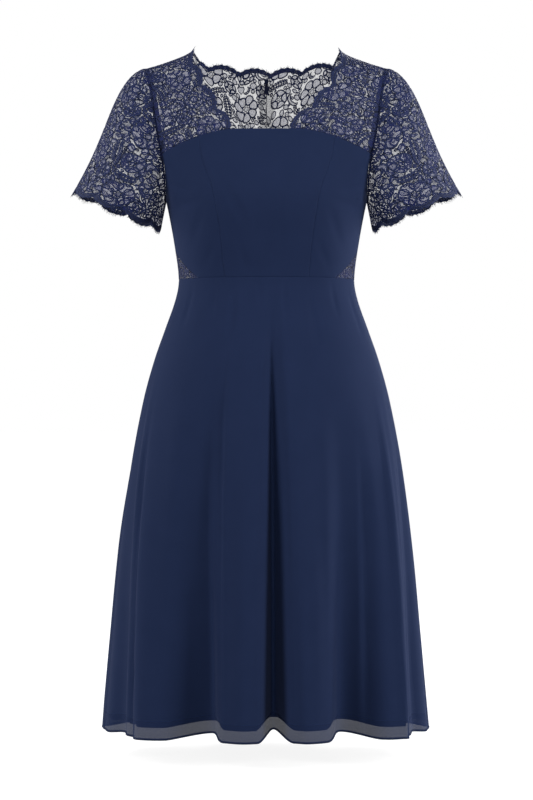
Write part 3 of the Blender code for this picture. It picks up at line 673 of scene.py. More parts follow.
# x, y, petals, radius, radius of the ring at the heart and its cord's width, turn in degrees
FLOWERS = (
    (0.0260, 0.0260, 6, 0.0231, 0.0044, 0.0011, 12),
    (0.0884, 0.0806, 7, 0.0239, 0.0047, 0.0012, 40),
    (0.0858, 0.0221, 8, 0.0174, 0.0081, 0.0034, 5),
    (0.0247, 0.0832, 5, 0.0166, 0.0034, 0.0010, 70),
    (0.0572, 0.0520, 5, 0.0122, 0.0026, 0.0009, 25),
    (0.1170, 0.0501, 5, 0.0117, 0.0026, 0.0009, 50),
)

# Scrolls, bands between two laid cords: centre x, y, radius, start and sweep in degrees, width
SCROLLS = (
    (0.0592, 0.0221, 0.0075, 150, -235, 0.0075),
    (0.1157, 0.0208, 0.0088, 60, 240, 0.0081),
    (0.0533, 0.0832, 0.0088, 250, -235, 0.0081),
    (0.0871, 0.0481, 0.0055, 20, 230, 0.0055),
)

# Striped leaves: x, y of the foot, heading in degrees, length, bend, pairs of stripes, their length
LEAVES = (
    (0.1229, 0.1079, -90, 0.0377, 0.12, 8, 0.0107),
    (0.0026, 0.0582, 0, 0.0377, -0.10, 8, 0.0086),
    (0.0585, 0.1092, -92, 0.0143, 0.30, 3, 0.0091),
)
STRIPE_WIDTH, STRIPE_LEAN = 0.0048, 0.80
CELL_RADII = (0.0066, 0.0050, 0.0037, 0.0025)  # large cells are placed first
CELL_TRIES, CELL_OVERLAP, CELL_SEED = 900, 0.0006, 4
CELL_REACH, CELL_SQUASH, SMALL_CELL = 1.1, (0.74, 1.0), 0.002


def figure(bm, segments, outline, spot, heading=0.0):
    """A flat filled figure. outline(c, s) bends the unit circle before it is turned and placed."""
    made = bmesh.ops.create_circle(bm, cap_ends=True, segments=segments, radius=1)["verts"]
    turn = Matrix.Rotation(heading, 3, "Z")
    for vert in made:
        vert.co = turn @ Vector((*outline(vert.co.x, vert.co.y), 0)) + Vector((*spot, 0))
    return made[0].link_faces[0]


def petal(near, far, width):
    """An outline that is broad and round at its far end and narrow at its near one."""
    def outline(c, s):
        return between(near, far, (c + 1) / 2), s * width / 2 * (1 + PETAL_SWELL * c)
    return outline


def corded(bm, faces, cord):
    """Lays a cord round each figure: a slope up from its edge and a slope down to the clothwork."""
    for rise in (CORD_RISE, CLOTHWORK_RISE):
        bmesh.ops.inset_individual(bm, faces=faces, thickness=cord / 2, use_even_offset=True)
        for face in faces:
            for vert in face.verts:
                vert.co.z = rise
    for face in faces:
        face.material_index = CLOTHWORK


def band(bm, path, width, steps, cord=CORD_WIDTH, ends=0.0):
    """Clothwork between two laid cords along path(share), tapered over the `ends` share at each end."""
    made = bmesh.ops.create_grid(bm, x_segments=steps, y_segments=5, size=0.5)["verts"]
    faces = {face for vert in made for face in vert.link_faces}
    for face in faces:
        if abs(face.calc_center_median().y) < 0.05:
            face.material_index = CLOTHWORK
    for vert in made:
        share, row = vert.co.x + 0.5, round(5 * (vert.co.y + 0.5))
        full = min(1, share / ends, (1 - share) / ends) if ends else 1
        half = width / 2 * (0.15 + 0.85 * full)
        laid = min(cord, half * 0.9)
        aside = (-half, laid / 2 - half, laid - half, half - laid, half - laid / 2, half)[row]
        rise = (0, CORD_RISE, CLOTHWORK_RISE, CLOTHWORK_RISE, CORD_RISE, 0)[row]
        ahead = path(share + 0.01) - path(share - 0.01)
        spot = path(share) + Vector((-ahead.y, ahead.x)).normalized() * aside
        vert.co = (spot.x, spot.y, rise * (full if ends else 1))


def arc(x, y, radius, start, sweep):
    def path(share):
        turn = math.radians(start + sweep * share)
        return Vector((x + radius * math.cos(turn), y + radius * math.sin(turn)))
    return path


def flower(bm, x, y, petals, radius, heart, heart_cord, turn):
    width = (radius + heart) * math.tan(math.pi / petals) * PETAL_OVERLAP
    faces = []
    for number in range(petals):
        heading = math.radians(turn) + 2 * math.pi * number / petals
        outline = petal(heart, radius, width)
        faces.append(figure(bm, PETAL_SEGMENTS, outline, (x, y), heading))
    corded(bm, faces, CORD_WIDTH)
    centre = figure(bm, CELL_SEGMENTS, lambda c, s: (c * heart, s * heart), (x, y))
    corded(bm, [centre], heart_cord)


def striped_leaf(bm, x, y, heading, length, bend, pairs, stripe_length):
    def rib(share):
        turn = math.radians(heading) + bend * share
        return Vector((x + length * share * math.cos(turn), y + length * share * math.sin(turn)))
    faces = []
    for number in range(pairs):
        share = (number + 0.2) / pairs
        ahead = rib(share + 0.01) - rib(share - 0.01)
        along = math.atan2(ahead.y, ahead.x)
        reach = stripe_length * math.sin(math.pi * (0.22 + 0.66 * share)) ** 0.7
        for side in (LEFT, RIGHT):
            stripe = petal(0.0, reach, STRIPE_WIDTH)
            faces.append(figure(bm, CELL_SEGMENTS, stripe, rib(share), along + side * STRIPE_LEAN))
    corded(bm, faces, FINE_CORD)


def cells(bm):
    """Fills the room between the figures, also over the repeat's edges, with cells that just meet."""
    rng = random.Random(CELL_SEED)
    size = np.array((REPEAT_WIDTH, REPEAT_HEIGHT))
    spots = [edge.verts[0].co.lerp(edge.verts[1].co, share).xy for edge in bm.edges for share in (0, 0.5)]
    clear = [0.0] * len(spots)
    for x, y, _, radius, _, _, _ in FLOWERS:
        spots.append((x, y))
        clear.append(radius * HEART_CLEARANCE)
    for face in bm.faces:
        if face.material_index == CLOTHWORK:
            centre = face.calc_center_median()
            spots.append(centre.xy)
            clear.append(min((vert.co - centre).length for vert in face.verts))
    spots, clear = np.array(spots), np.array(clear)
    for largest, smallest in zip(CELL_RADII, CELL_RADII[1:]):
        faces = []
        for _ in range(CELL_TRIES):
            spot = np.array((rng.random(), rng.random())) * size
            away = np.abs((spots - spot + size / 2) % size - size / 2)
            room = (np.hypot(away[:, 0], away[:, 1]) - clear).min() + CELL_OVERLAP
            if room < smallest:
                continue
            radius = min(room, largest)
            squash, heading = rng.uniform(*CELL_SQUASH), rng.uniform(0, math.pi)
            cell = lambda c, s: (c * radius * CELL_REACH, s * radius * CELL_REACH * squash)
            segments = CELL_SEGMENTS if radius > SMALL_CELL else SMALL_CELL_SEGMENTS
            faces.append(figure(bm, segments, cell, spot, heading))
            spots, clear = np.vstack([spots, spot]), np.append(clear, radius - CELL_OVERLAP / 2)
        corded(bm, faces, FINE_CORD if smallest > SMALL_CELL else smallest * 0.6)


def two_faced(name, bm):
    """A mesh of flat lace and of the same lace on its wrong side, joined at the figures' edges."""
    whole = bm.verts[:] + bm.edges[:] + bm.faces[:]
    bmesh.ops.mirror(bm, geom=whole, matrix=Matrix(), merge_dist=1e-6, axis="Z")
    bmesh.ops.recalc_face_normals(bm, faces=bm.faces)
    return mesh_of(name, bm)


def lace_repeat():
    bm = bmesh.new()
    for row in FLOWERS:
        flower(bm, *row)
    for x, y, radius, start, sweep, width in SCROLLS:
        band(bm, arc(x, y, radius, start, sweep), width, 14, ends=0.3)
    for row in LEAVES:
        striped_leaf(bm, *row)
    cells(bm)
    return two_faced("lace_repeat", bm)


lace_pattern = lace_repeat()

# ---------------------------------------------------------------- front yokes
# Lace from the shoulder seams to the bodice's top edge, on each side of the neck. The neck edge is the
# lace's own scalloped border, with the cut ends of its threads left as eyelashes.

NECK_NOTCHES = {  # out and drop of the points where two scallops of the neck edge meet
    LEFT: np.array([(0.1225, 0.029), (0.108, 0.068), (0.075, 0.106), (0.038, 0.141)]),
    RIGHT: np.array([(0.1220, 0.029), (0.106, 0.067), (0.081, 0.108), (0.059, 0.141)]),
}
NECK_SHOULDER_SHARE, NECK_SCALLOP_RISE = 0.25, 0.009
YOKE_MEETS_ARMHOLE = {FRONT: 0.179, BACK: 0.175}  # drops where a yoke's low edge meets the armhole
NET = 0.0003
NET_SINK = 0.00015  # the net's face lies this far under the panel's
BORDER_WIDTH, BORDER_CORD = 0.0072, 0.0023
PICOT, PICOT_REACH = 0.0110, 0.0024  # the small points along the border
NECK_EDGE_INSET, LASH_SPACING, NECK_LASH = 0.0015, 0.0013, 0.0072
LASH_RADII, LASH_LENGTHS = (0.00042, 0.00016), (0.55, 1.0)
LASH_LEAN, LASH_ROOT = 0.30, 0.0010  # the root is how far inside the border's edge a lash starts
NET_PAINTED_HIGHLIGHT = 1.5  # how much paler the crests of a net's thread are painted, a painted highlight
SHOULDER_TURNINGS, ARMHOLE_TURNINGS, LOW_TURNINGS, TURNINGS_PAST = 0.0060, 0.0042, 0.0012, 0.0012
TURNINGS, TURNING_STEPS = 0.0004, 48
FIRST_SHARE = 0.004  # how near a panel's scalloped edge the figures come
LACE_START = {"left": (0.0, 0.030), "right": (0.048, 0.012)}  # where each panel is cut from the lace


def lace_thread(name, colour, painted_highlight):
    """Mercerised cotton cord: two plies twisted together, with a slight lustre. The crests of its twist
    are painted paler in random patches, a painted highlight.
    """
    material, shader = new_material(name, {
        "Roughness": 0.58, "Specular IOR Level": 0.22,
        "Sheen Weight": 0.12, "Sheen Tint": (0.62, 0.62, 0.85, 1),
    })
    flat = shade(material, "UVMap", "UV", {}, uv_map="flat")
    turned = shade(material, "Mapping", "Vector", {"Vector": flat, "Rotation": (0, 0, math.radians(38))})
    plies = {"Vector": turned, "Scale": 460, "Distortion": 2.2, "Detail": 2}
    twist = shade(material, "TexWave", "Fac", plies)
    bump = shade(material, "Bump", "Normal", {"Height": twist, "Strength": 0.5, "Distance": 0.0002})
    patch = shade(material, "TexNoise", "Fac", {"Vector": flat, "Scale": 160, "Detail": 3})
    # painted highlight: the twist's crests take the paler colour where a random patch is high
    two_tones(material, shader, twist, patch, bump, colour, painted_highlight)
    return material


def open_work(name, colour, mesh_size, bar, thread, gap):
    """Fine thread worked into a net. `thread` and `gap` are how much its bars and meshes hide."""
    # the net's threads get the same painted highlight on the crests of their twist
    material = lace_thread(name, colour, tuple(NET_PAINTED_HIGHLIGHT * part for part in colour))
    nodes = material.node_tree.nodes
    holes = {"Vector": nodes["UV Map"].outputs["UV"], "Scale": 1 / mesh_size, "Randomness": 0.55}
    meshes = shade(material, "TexVoronoi", "Distance", holes, feature="DISTANCE_TO_EDGE")
    reach = {"From Min": bar / 2, "From Max": bar * 3 / 2, "To Min": thread, "To Max": gap}
    cover = shade(material, "MapRange", "Result", {"Value": meshes, **reach})
    feed(material, nodes["Principled BSDF"], {"Alpha": cover})
    return material


# the second colour is the painted highlight on the crests of the cord's twist
lace_cord = lace_thread("lace_cord", (0.0105, 0.0190, 0.0700), (0.0235, 0.0380, 0.1250))
clothwork = open_work("lace_clothwork", (0.0300, 0.0460, 0.2500), 0.0008, 0.22, 0.28, 0.10)
close_clothwork = open_work("lace_border_clothwork", (0.0200, 0.0270, 0.0720), 0.0008, 0.22, 0.95, 0.60)
net = open_work("lace_net", (0.0150, 0.0210, 0.0600), 0.0014, 0.14, 0.34, 0.05)
seam_tape = chiffon("lace_seam_turnings", (0.0110, 0.0165, 0.0480), (0.0170, 0.0240, 0.0640))


def steps_along(points, axis):
    return np.linalg.norm(np.diff(points, axis=axis), axis=-1)


def face_grid(place, columns, rows, middle, closed=False):
    """A panel's face as grids of points and normals, in even steps down each column."""
    u, v = np.meshgrid(np.linspace(0, 1, columns + 1), np.linspace(0, 1, rows + 1), indexing="ij")
    down = np.pad(np.cumsum(steps_along(place(u, v), 1), axis=1), ((0, 0), (1, 0)))
    even = np.stack([np.interp(v[0] * reached[-1], reached, v[0]) for reached in down])
    points = place(u, even)
    normals = grid_normals(points, middle)
    if closed:
        normals[0] = normals[-1] = (normals[0] + normals[-1]) / 2
    return points, normals


def on_face(grids, u, v, height):
    """Spots at any u and v, carried straight on past the edges and raised square to the face."""
    columns, rows = grids[0].shape[0] - 1, grids[0].shape[1] - 1
    i = np.clip((u * columns).astype(int), 0, columns - 1)
    j = np.clip((v * rows).astype(int), 0, rows - 1)
    a, b = (u * columns - i)[..., None], (v * rows - j)[..., None]

    def mixed(grid):
        near = grid[i, j] * (1 - a) + grid[i + 1, j] * a
        far = grid[i, j + 1] * (1 - a) + grid[i + 1, j + 1] * a
        return near * (1 - b) + far * b

    return mixed(grids[0]) + mixed(grids[1]) * np.asarray(height)[..., None]


def on_net(grids, u, v, z):
    return on_face(grids, u, v, z - NET_SINK - NET / 2)


def row_lengths(grids):
    return steps_along(grids[0], 0).sum(axis=0)


def column_lengths(grids):
    return steps_along(grids[0], 1).sum(axis=1)


def length_at(lengths, share):
    return np.interp(share, np.linspace(0, 1, len(lengths)), lengths)


def lay(mesh, place):
    """Lays flat lace on a face. place(x, y, z) gives the spots of points in flat metres."""
    flat = coordinates(mesh)
    probe = place(*(flat.mean(axis=0) + 0.0005 * np.eye(4, 3, k=-1)).T)
    if np.linalg.det(probe[1:] - probe[0]) < 0:
        mesh.flip_normals()
    lay_flat(mesh, place(*flat.T), flat)


def in_rows(mesh, counts, steps):
    """Copies of a mesh side by side and one below another, as one mesh."""
    thing = bpy.data.objects.new("copies", mesh)
    bpy.context.scene.collection.objects.link(thing)
    for axis, (count, step) in enumerate(zip(counts, steps)):
        array = thing.modifiers.new("copies", "ARRAY")
        array.count = count
        array.use_relative_offset = False
        array.use_constant_offset = True
        array.constant_offset_displace = [step if place == axis else 0 for place in range(3)]
    solid = thing.evaluated_get(bpy.context.evaluated_depsgraph_get())
    copies = bpy.data.meshes.new_from_object(solid)
    bpy.data.objects.remove(thing)
    return copies


def lace_figures(node, grids, cut, counts, start=(0.0, 0.0), lowest=(0, 0)):
    """The repeat's figures over a whole panel. cut(x, y) gives u and v; what lies outside is cut off."""
    mesh = in_rows(lace_pattern, counts, (REPEAT_WIDTH, REPEAT_HEIGHT))
    flat = coordinates(mesh) - (*start, 0)
    move_to(mesh, flat)
    u, v = cut(flat[:, 0], flat[:, 1])
    inside = (u > 0) & (u < 1) & (v > 0) & (v < 1)
    bm = bmesh.new()
    bm.from_mesh(mesh)
    outside = [face for face in bm.faces if not any(inside[vert.index] for vert in face.verts)]
    bmesh.ops.delete(bm, geom=outside, context="FACES")
    bm.to_mesh(mesh)
    bm.free()

    def on_panel(x, y, z):
        u, v = cut(x, y)
        return on_net(grids, np.clip(u, lowest[0], 1), np.clip(v, lowest[1], 1), z)

    lay(mesh, on_panel)
    mesh.name = node + "_figures"
    return finished(mesh.name, mesh, [lace_cord, clothwork])


def lace_border(name, length, steps, place, closed=False):
    """Clothwork between two thick cords along a scalloped edge; x runs along it and y goes in."""
    bm = bmesh.new()
    middle = lambda share: Vector((length * share, BORDER_WIDTH / 2))
    band(bm, middle, BORDER_WIDTH, steps, BORDER_CORD, 0 if closed else 0.5 / steps)
    points = round(length / PICOT)
    for vert in bm.verts:
        if vert.co.y < BORDER_CORD * 0.6:
            vert.co.y -= PICOT_REACH * float(scallop(vert.co.x / length * points))
    mesh = two_faced(name, bm)
    lay(mesh, place)
    if closed:
        merge_ends(mesh, 2e-5)
    return finished(name, mesh, [lace_cord, close_clothwork])


def eyelashes(name, length, reach, seed, place):
    """The cut ends of the lace's threads: fine, uneven, and leaning at random."""
    bm = bmesh.new()
    bmesh.ops.create_cone(
        bm, segments=3, cap_ends=True, radius1=LASH_RADII[0], radius2=LASH_RADII[1], depth=1
    )
    bmesh.ops.translate(bm, verts=bm.verts, vec=(0, 0, 0.5))
    bmesh.ops.rotate(bm, verts=bm.verts, cent=(0, 0, 0), matrix=Matrix.Rotation(math.pi / 2, 3, "X"))
    lash = mesh_of("lash", bm)
    count = int(length / LASH_SPACING)
    mesh = in_rows(lash, (count,), (length / count,))
    flat = coordinates(mesh)
    number = np.arange(len(flat)) // len(lash.vertices)
    rng = random.Random(seed)
    points = round(length / PICOT)
    draws = []
    for at in range(count):
        crest = between(0.6, 1, float(scallop(at / count * points)))
        draws.append((rng.uniform(*LASH_LENGTHS) * crest, rng.gauss(0, LASH_LEAN), rng.random()))
    grown, lean, shift = np.array(draws)[number].T
    out = flat[:, 1] * reach * grown
    flat[:, 0] += lean * out + (shift - 0.5) * LASH_SPACING
    flat[:, 1] = out + LASH_ROOT
    move_to(mesh, flat)
    lay(mesh, place)
    mesh.name = name
    return finished(name, mesh, [lace_cord])


def scalloped_edge(node, length, steps, reach, seed, place, closed=False):
    border = lace_border(node + "_border", length, steps, place, closed)
    return [border, eyelashes(node + "_eyelashes", length, reach, seed, place)]


def lace_ground(node, grids, counts, size, middle, net, inset=lambda u, v: (u, v), closed=False):
    """The net that carries the figures, as a thin sheet over the whole panel."""
    us, vs = (np.linspace(0, 1, count) for count in counts)
    u, v = inset(*spread(us, vs))
    points = on_face(grids, u, v, np.full(u.shape, -NET_SINK))
    mesh = cloth_mesh(node + "_net", points, us, vs, size, middle, closed)
    return finished(node + "_net", mesh, [net], NET, node)


def seam_turnings(name, grids, edge, reach, past, middle, start=0.0, closed=False):
    """A strip of plain cloth behind the lace along one seam, which carries on `past` the seam."""
    lengths = row_lengths(grids) if edge == "outer" else column_lengths(grids)
    shares = np.linspace(start, 1, TURNING_STEPS)
    across = np.array((-past, reach / 2, reach))[None, :] / length_at(lengths, shares)[:, None]
    along = np.broadcast_to(shares[:, None], across.shape)
    u, v = {"top": (along, across), "low": (along, 1 - across), "outer": (1 - across, along)}[edge]
    points = on_face(grids, u, v, np.full(u.shape, -NET_SINK - NET - TURNINGS))
    size = (steps_along(points[:, 0], 0).sum(), reach + past)
    mesh = cloth_mesh(name, points, shares, np.linspace(0, 1, 3), size, middle, closed)
    return finished(name, mesh, [seam_tape], TURNINGS)


def over_shoulder(share):
    """Spaces the rows evenly over the round of the shoulder."""
    return 1 - np.cos(math.pi / 2 * share)


def scallop(share):
    return np.abs(np.sin(math.pi * share)) ** 0.8


def neck_edge(side, v):
    """(out, drop) down the front neck edge: over the shoulder, then scallop by scallop."""
    notches = NECK_NOTCHES[side]
    share = over_shoulder(np.clip(v / NECK_SHOULDER_SHARE, 0, 1))
    shoulder = np.stack([between(NECK_POINT, notches[0, 0], share), share * notches[0, 1]], axis=-1)
    along = np.clip((v - NECK_SHOULDER_SHARE) / NECK_SHOULDER_SHARE, 0, 3)
    index = np.minimum(along.astype(int), 2)
    start, chord = notches[index], notches[index + 1] - notches[index]
    inward = unit(np.stack([-chord[..., 1], chord[..., 0]], axis=-1))
    part = (along - index)[..., None]
    edge = start + chord * part + inward * NECK_SCALLOP_RISE * scallop(part)
    return np.where(v[..., None] <= NECK_SHOULDER_SHARE, shoulder, edge)


def yoke_front_face(side):
    def armhole(v):
        meets = top_edge(FRONT, smooth(ARMHOLE, OUT, YOKE_MEETS_ARMHOLE[FRONT])) - HALF_GAP
        drop = between(SHOULDER_FALL, meets, over_shoulder(v))
        return np.stack([smooth(ARMHOLE, OUT, drop) - HALF_GAP, drop], axis=-1)

    def place(u, v):
        one = np.ones(u.shape)
        last_in, first_out, last_out = neck_edge(side, one), armhole(0 * one), armhole(one)
        top_out = between(NECK_POINT, SHOULDER_POINT - HALF_GAP, u)
        low_out = between(last_in[..., 0], last_out[..., 0], u)
        top = np.stack([top_out, ridge(top_out)], axis=-1)
        low = np.stack([low_out, top_edge(FRONT, low_out) - HALF_GAP], axis=-1)
        first_in = np.stack([NECK_POINT * one, 0 * one], axis=-1)
        share = u[..., None]
        flat_top, flat_low = between(first_in, first_out, share), between(last_in, last_out, share)
        spot = between(neck_edge(side, v), armhole(v), share)
        spot = spot + between(top - flat_top, low - flat_low, over_shoulder(v)[..., None])
        return face_point(FRONT, side * spot[..., 0], spot[..., 1], HALF_GAP)

    return place


def yoke_turnings(node, grids, neck_share=0.0):
    """The seams at the shoulder, the armhole and the bodice's top edge."""
    return [
        seam_turnings(
            f"{node}_{edge}_turnings", grids, edge, reach, TURNINGS_PAST, BODICE_MIDDLE, start
        )
        for edge, reach, start in (
            ("top", SHOULDER_TURNINGS, neck_share),
            ("outer", ARMHOLE_TURNINGS, 0.0),
            ("low", LOW_TURNINGS, 0.0),
        )
    ]


def yoke_front(word, side):
    node = f"yoke_front_{word}"
    grids = face_grid(yoke_front_face(side), 96, 144, BODICE_MIDDLE)
    widths, height = row_lengths(grids), column_lengths(grids).mean()

    def cut(x, y):
        v = y / height
        return x / length_at(widths, v), v

    def along_neck(x, y, z):
        return on_net(grids, *cut(y + NECK_EDGE_INSET, x), z)

    def inset(u, v):
        return between(NECK_EDGE_INSET / length_at(widths, v), 1, u), v

    size = (widths.mean(), height)
    ground = lace_ground(node, grids, (40, 100), size, BODICE_MIDDLE, net, inset)
    figures = lace_figures(node, grids, cut, (2, 3), LACE_START[word], (FIRST_SHARE, 0))
    edge = scalloped_edge(node, height, 136, NECK_LASH, 11 + side, along_neck)
    details = [figures, *edge, *yoke_turnings(node, grids)]


for word, side in SIDES:
    yoke_front(word, side)

# ---------------------------------------------------------------- back yokes
# The same lace in two halves that meet at the zip, worn as a single open layer, with a scalloped
# border and eyelashes along the back of the neck.

BACK_NECK_DROP, BACK_NECK_LIFT, BACK_NECK_TO = 0.0305, 0.85, 0.110
BACK_SCALLOP, BACK_SCALLOP_RISE, BACK_SCALLOP_START = 0.052, 0.009, 0.0068


def back_neck_edge(x):
    """Drop of the scalloped back neck edge, which runs up to the neck point at each end."""
    out = np.abs(x)
    hollow = BACK_NECK_DROP - BACK_NECK_LIFT * out**2
    lift = BACK_SCALLOP_RISE * scallop((x - BACK_SCALLOP_START) / BACK_SCALLOP)
    to_shoulder = np.clip((out - BACK_NECK_TO) / (NECK_POINT - BACK_NECK_TO), 0, 1)
    return (hollow - lift) * (1 - to_shoulder**2)


YOKE_SLIT = -0.0003  # the two halves meet over the concealed zip


def yoke_back_face(side):
    low_out = smooth(ARMHOLE, OUT, YOKE_MEETS_ARMHOLE[BACK]) - HALF_GAP

    def place(u, v):
        v = over_shoulder(v)
        top_out = between(YOKE_SLIT, SHOULDER_POINT - HALF_GAP, u)
        top = np.where(top_out < NECK_POINT, back_neck_edge(side * top_out), ridge(top_out))
        bottom = top_edge(BACK, between(YOKE_SLIT, low_out, u)) - HALF_GAP
        drop = between(top, bottom, v)
        level_out = between(top_out, between(YOKE_SLIT, low_out, u), v)
        straight = between(SHOULDER_POINT - HALF_GAP, low_out, v)
        edge_bow = smooth(ARMHOLE, OUT, drop) - HALF_GAP - straight
        return face_point(BACK, side * (level_out + edge_bow * u**3), drop, HALF_GAP)

    return place


def yoke_back(word, side):
    node = f"yoke_back_{word}"
    grids = face_grid(yoke_back_face(side), 160, 96, BODICE_MIDDLE)
    heights, width = column_lengths(grids), row_lengths(grids).mean()
    neck_share = (NECK_POINT - YOKE_SLIT) / (SHOULDER_POINT - HALF_GAP - YOKE_SLIT)

    def cut(x, y):
        u = x / width
        return u, y / length_at(heights, u)

    def along_neck(x, y, z):
        return on_net(grids, *cut(x, y + NECK_EDGE_INSET), z)

    def inset(u, v):
        edge = np.where(u < neck_share, NECK_EDGE_INSET / length_at(heights, u), 0)
        return u, between(edge, 1, v)

    size = (width, heights.mean())
    ground = lace_ground(node, grids, (110, 60), size, BODICE_MIDDLE, net, inset)
    figures = lace_figures(node, grids, cut, (3, 3), LACE_START[word], (0, FIRST_SHARE))
    edge = scalloped_edge(node, width * neck_share, 96, NECK_LASH, 21 + side, along_neck)
    details = [figures, *edge, *yoke_turnings(node, grids, neck_share)]


for word, side in SIDES:
    yoke_back(word, side)

# ---------------------------------------------------------------- sleeves
# Short sleeves set into the armholes, cut so that the lace's scalloped selvedge makes the hem. The
# turnings of the armhole seam lie inside the sleeve's head and show through it as a darker band.

SLEEVE_SCALLOPS, SLEEVE_SCALLOP_RISE = 9, 0.008
SLEEVE_HEM_CENTRE = np.array((0.2510, 0.002, -0.2730))
SLEEVE_HEM_OUT = np.array((0.0730, 0.0, 0.0315))  # from the hem's centre to its outer edge
SLEEVE_HEM_DEPTH = 0.052
SLEEVE_CAP, SLEEVE_CAP_PEAK, SLEEVE_CAP_ROUNDING, SLEEVE_FULLNESS = 0.0185, 0.2, 0.65, 0.020
SLEEVE_REPEATS = 3
HEM_EDGE_INSET, HEM_LASH = 0.0042, 0.0098


def sleeve_face(side):
    out = SLEEVE_HEM_OUT / np.linalg.norm(SLEEVE_HEM_OUT)
    down = np.array((out[2], 0, -out[0]))
    mirror = np.array((side, 1, 1))

    def place(u, v):
        turn = math.pi + 2 * math.pi * u
        drop = between(SHOULDER_FALL, UNDERARM, (1 - np.cos(turn)) / 2)
        face = np.where(np.sin(turn) >= 0, FRONT, BACK)
        seam = face_point(face, side * smooth(ARMHOLE, OUT, drop), drop) * mirror
        seam = seam + np.array((2 * HALF_GAP, 0, 0))
        hem = SLEEVE_HEM_CENTRE + SLEEVE_HEM_OUT * np.cos(turn)[..., None]
        hem[..., 1] -= SLEEVE_HEM_DEPTH * np.sin(turn)
        hem = hem + down * (SLEEVE_SCALLOP_RISE * (scallop(SLEEVE_SCALLOPS * u) - 1))[..., None]
        peak = SLEEVE_CAP_PEAK
        rounding = (v / peak * ((1 - v) / (1 - peak)) ** (1 / peak - 1)) ** SLEEVE_CAP_ROUNDING
        cap = out * (SLEEVE_CAP * np.clip(np.cos(turn), 0, None) * rounding)[..., None]
        fullness = np.zeros(u.shape + (3,))
        fullness[..., 1] = -np.sin(turn) * SLEEVE_FULLNESS * np.sin(math.pi * v) ** 0.8
        return (between(seam, hem, v[..., None]) + cap + fullness) * mirror

    return place


def sleeve(word, side):
    node = f"sleeve_{word}"
    middle = np.array((side * 0.225, 0, -0.17))
    grids = face_grid(sleeve_face(side), SLEEVE_SCALLOPS * 24, 72, middle, closed=True)
    heights, girth = column_lengths(grids), row_lengths(grids)[-1]
    whole = SLEEVE_REPEATS * REPEAT_WIDTH

    def cut(x, y):
        u = x / whole % 1
        return u, 1 - (y + HEM_EDGE_INSET) / length_at(heights, u)

    def along_hem(x, y, z):
        u = x / girth
        away = (y + HEM_EDGE_INSET) / length_at(heights, u % 1)
        return on_net(grids, np.where(u == 1, 1, u % 1), 1 - away, z)

    def inset(u, v):
        return u, v * (1 - HEM_EDGE_INSET / length_at(heights, u))

    size = (girth, heights.mean())
    columns = SLEEVE_SCALLOPS * 14 + 1
    ground = lace_ground(node, grids, (columns, 50), size, middle, net, inset, closed=True)
    figures = lace_figures(node, grids, cut, (SLEEVE_REPEATS, 3))
    edge = scalloped_edge(node, girth, SLEEVE_SCALLOPS * 36, HEM_LASH, 31 + side, along_hem, closed=True)
    turnings = seam_turnings(
        node + "_turnings", grids, "top", ARMHOLE_TURNINGS, TURNINGS_PAST, middle, closed=True
    )


for word, side in SIDES:
    sleeve(word, side)

# ---------------------------------------------------------------- waist insets
# A triangle of the lace let in at each side of the waist, front and back in one piece, with its tip
# on the side seam and its foot on the waist seam. A closer net behind it keeps it from gaping.

INSET_COLUMNS = 64

inset_net = open_work("lace_inset_net", (0.0150, 0.0210, 0.0600), 0.0014, 0.14, 0.50, 0.22)


def inset_face(side):
    def place(u, v):
        share = 2 * u - 1
        face = np.where(share < 0, FRONT, BACK)
        angle = between(math.pi / 2, INSET_CORNER, np.abs(share))
        drop = between(inset_edge(angle) + HALF_GAP, WAIST - HALF_GAP, v)
        return form_point(face, side, angle, drop)

    return place


def waist_inset(word, side):
    node = f"waist_inset_{word}"
    middle = np.array((0, 0, -0.36))
    grids = face_grid(inset_face(side), INSET_COLUMNS, 24, middle)
    heights, width = column_lengths(grids), row_lengths(grids)[-1]

    def cut(x, y):
        u = x / width
        return u, 1 - y / length_at(heights, u)

    size = (width, heights.max())
    ground = lace_ground(node, grids, (INSET_COLUMNS + 1, 18), size, middle, inset_net)
    figures = lace_figures(node, grids, cut, (3, 2), LACE_START[word])


for word, side in SIDES:
    waist_inset(word, side)

# ---------------------------------------------------------------- centre back zip
# A concealed zip from the back neck to the hips: two sheer woven tapes behind the panels' edges, a
# fine closed coil between them, and an enamelled slider at the top whose tab hangs outside.

TAPE_HALF_WIDTH, TAPE_DEPTH, TAPE_THICKNESS = 0.012, 0.0026, 0.0005
TAPE_FOLD = 0.003  # half the width of the close-woven folds that hold the coil
COIL_PITCH, COIL_HALF_WIDTH, COIL_RADIUS, COIL_DEPTH = 0.0012, 0.0009, 0.00036, 0.0012

zip_tape_cloth = open_work("zip_tape_weave", (0.0140, 0.0200, 0.0560), 0.0008, 0.20, 0.30, 0.12)
# the second colour is the painted highlight on the crests of the coil's twist
zip_coil = lace_thread("zip_coil", (0.0090, 0.0130, 0.0380), (0.0200, 0.0260, 0.0640))


def back_line(drop):
    """The face of the back at the centre, folds included."""
    spot = face_point(BACK, np.zeros(np.shape(drop)), drop)
    spot[..., 1] += fold_depth(180.0, drop)
    return spot


def back_normal(drop):
    along = back_line(drop + 0.003) - back_line(drop - 0.003)
    return unit(np.stack([np.zeros(np.shape(drop)), -along[..., 2], along[..., 1]], axis=-1))


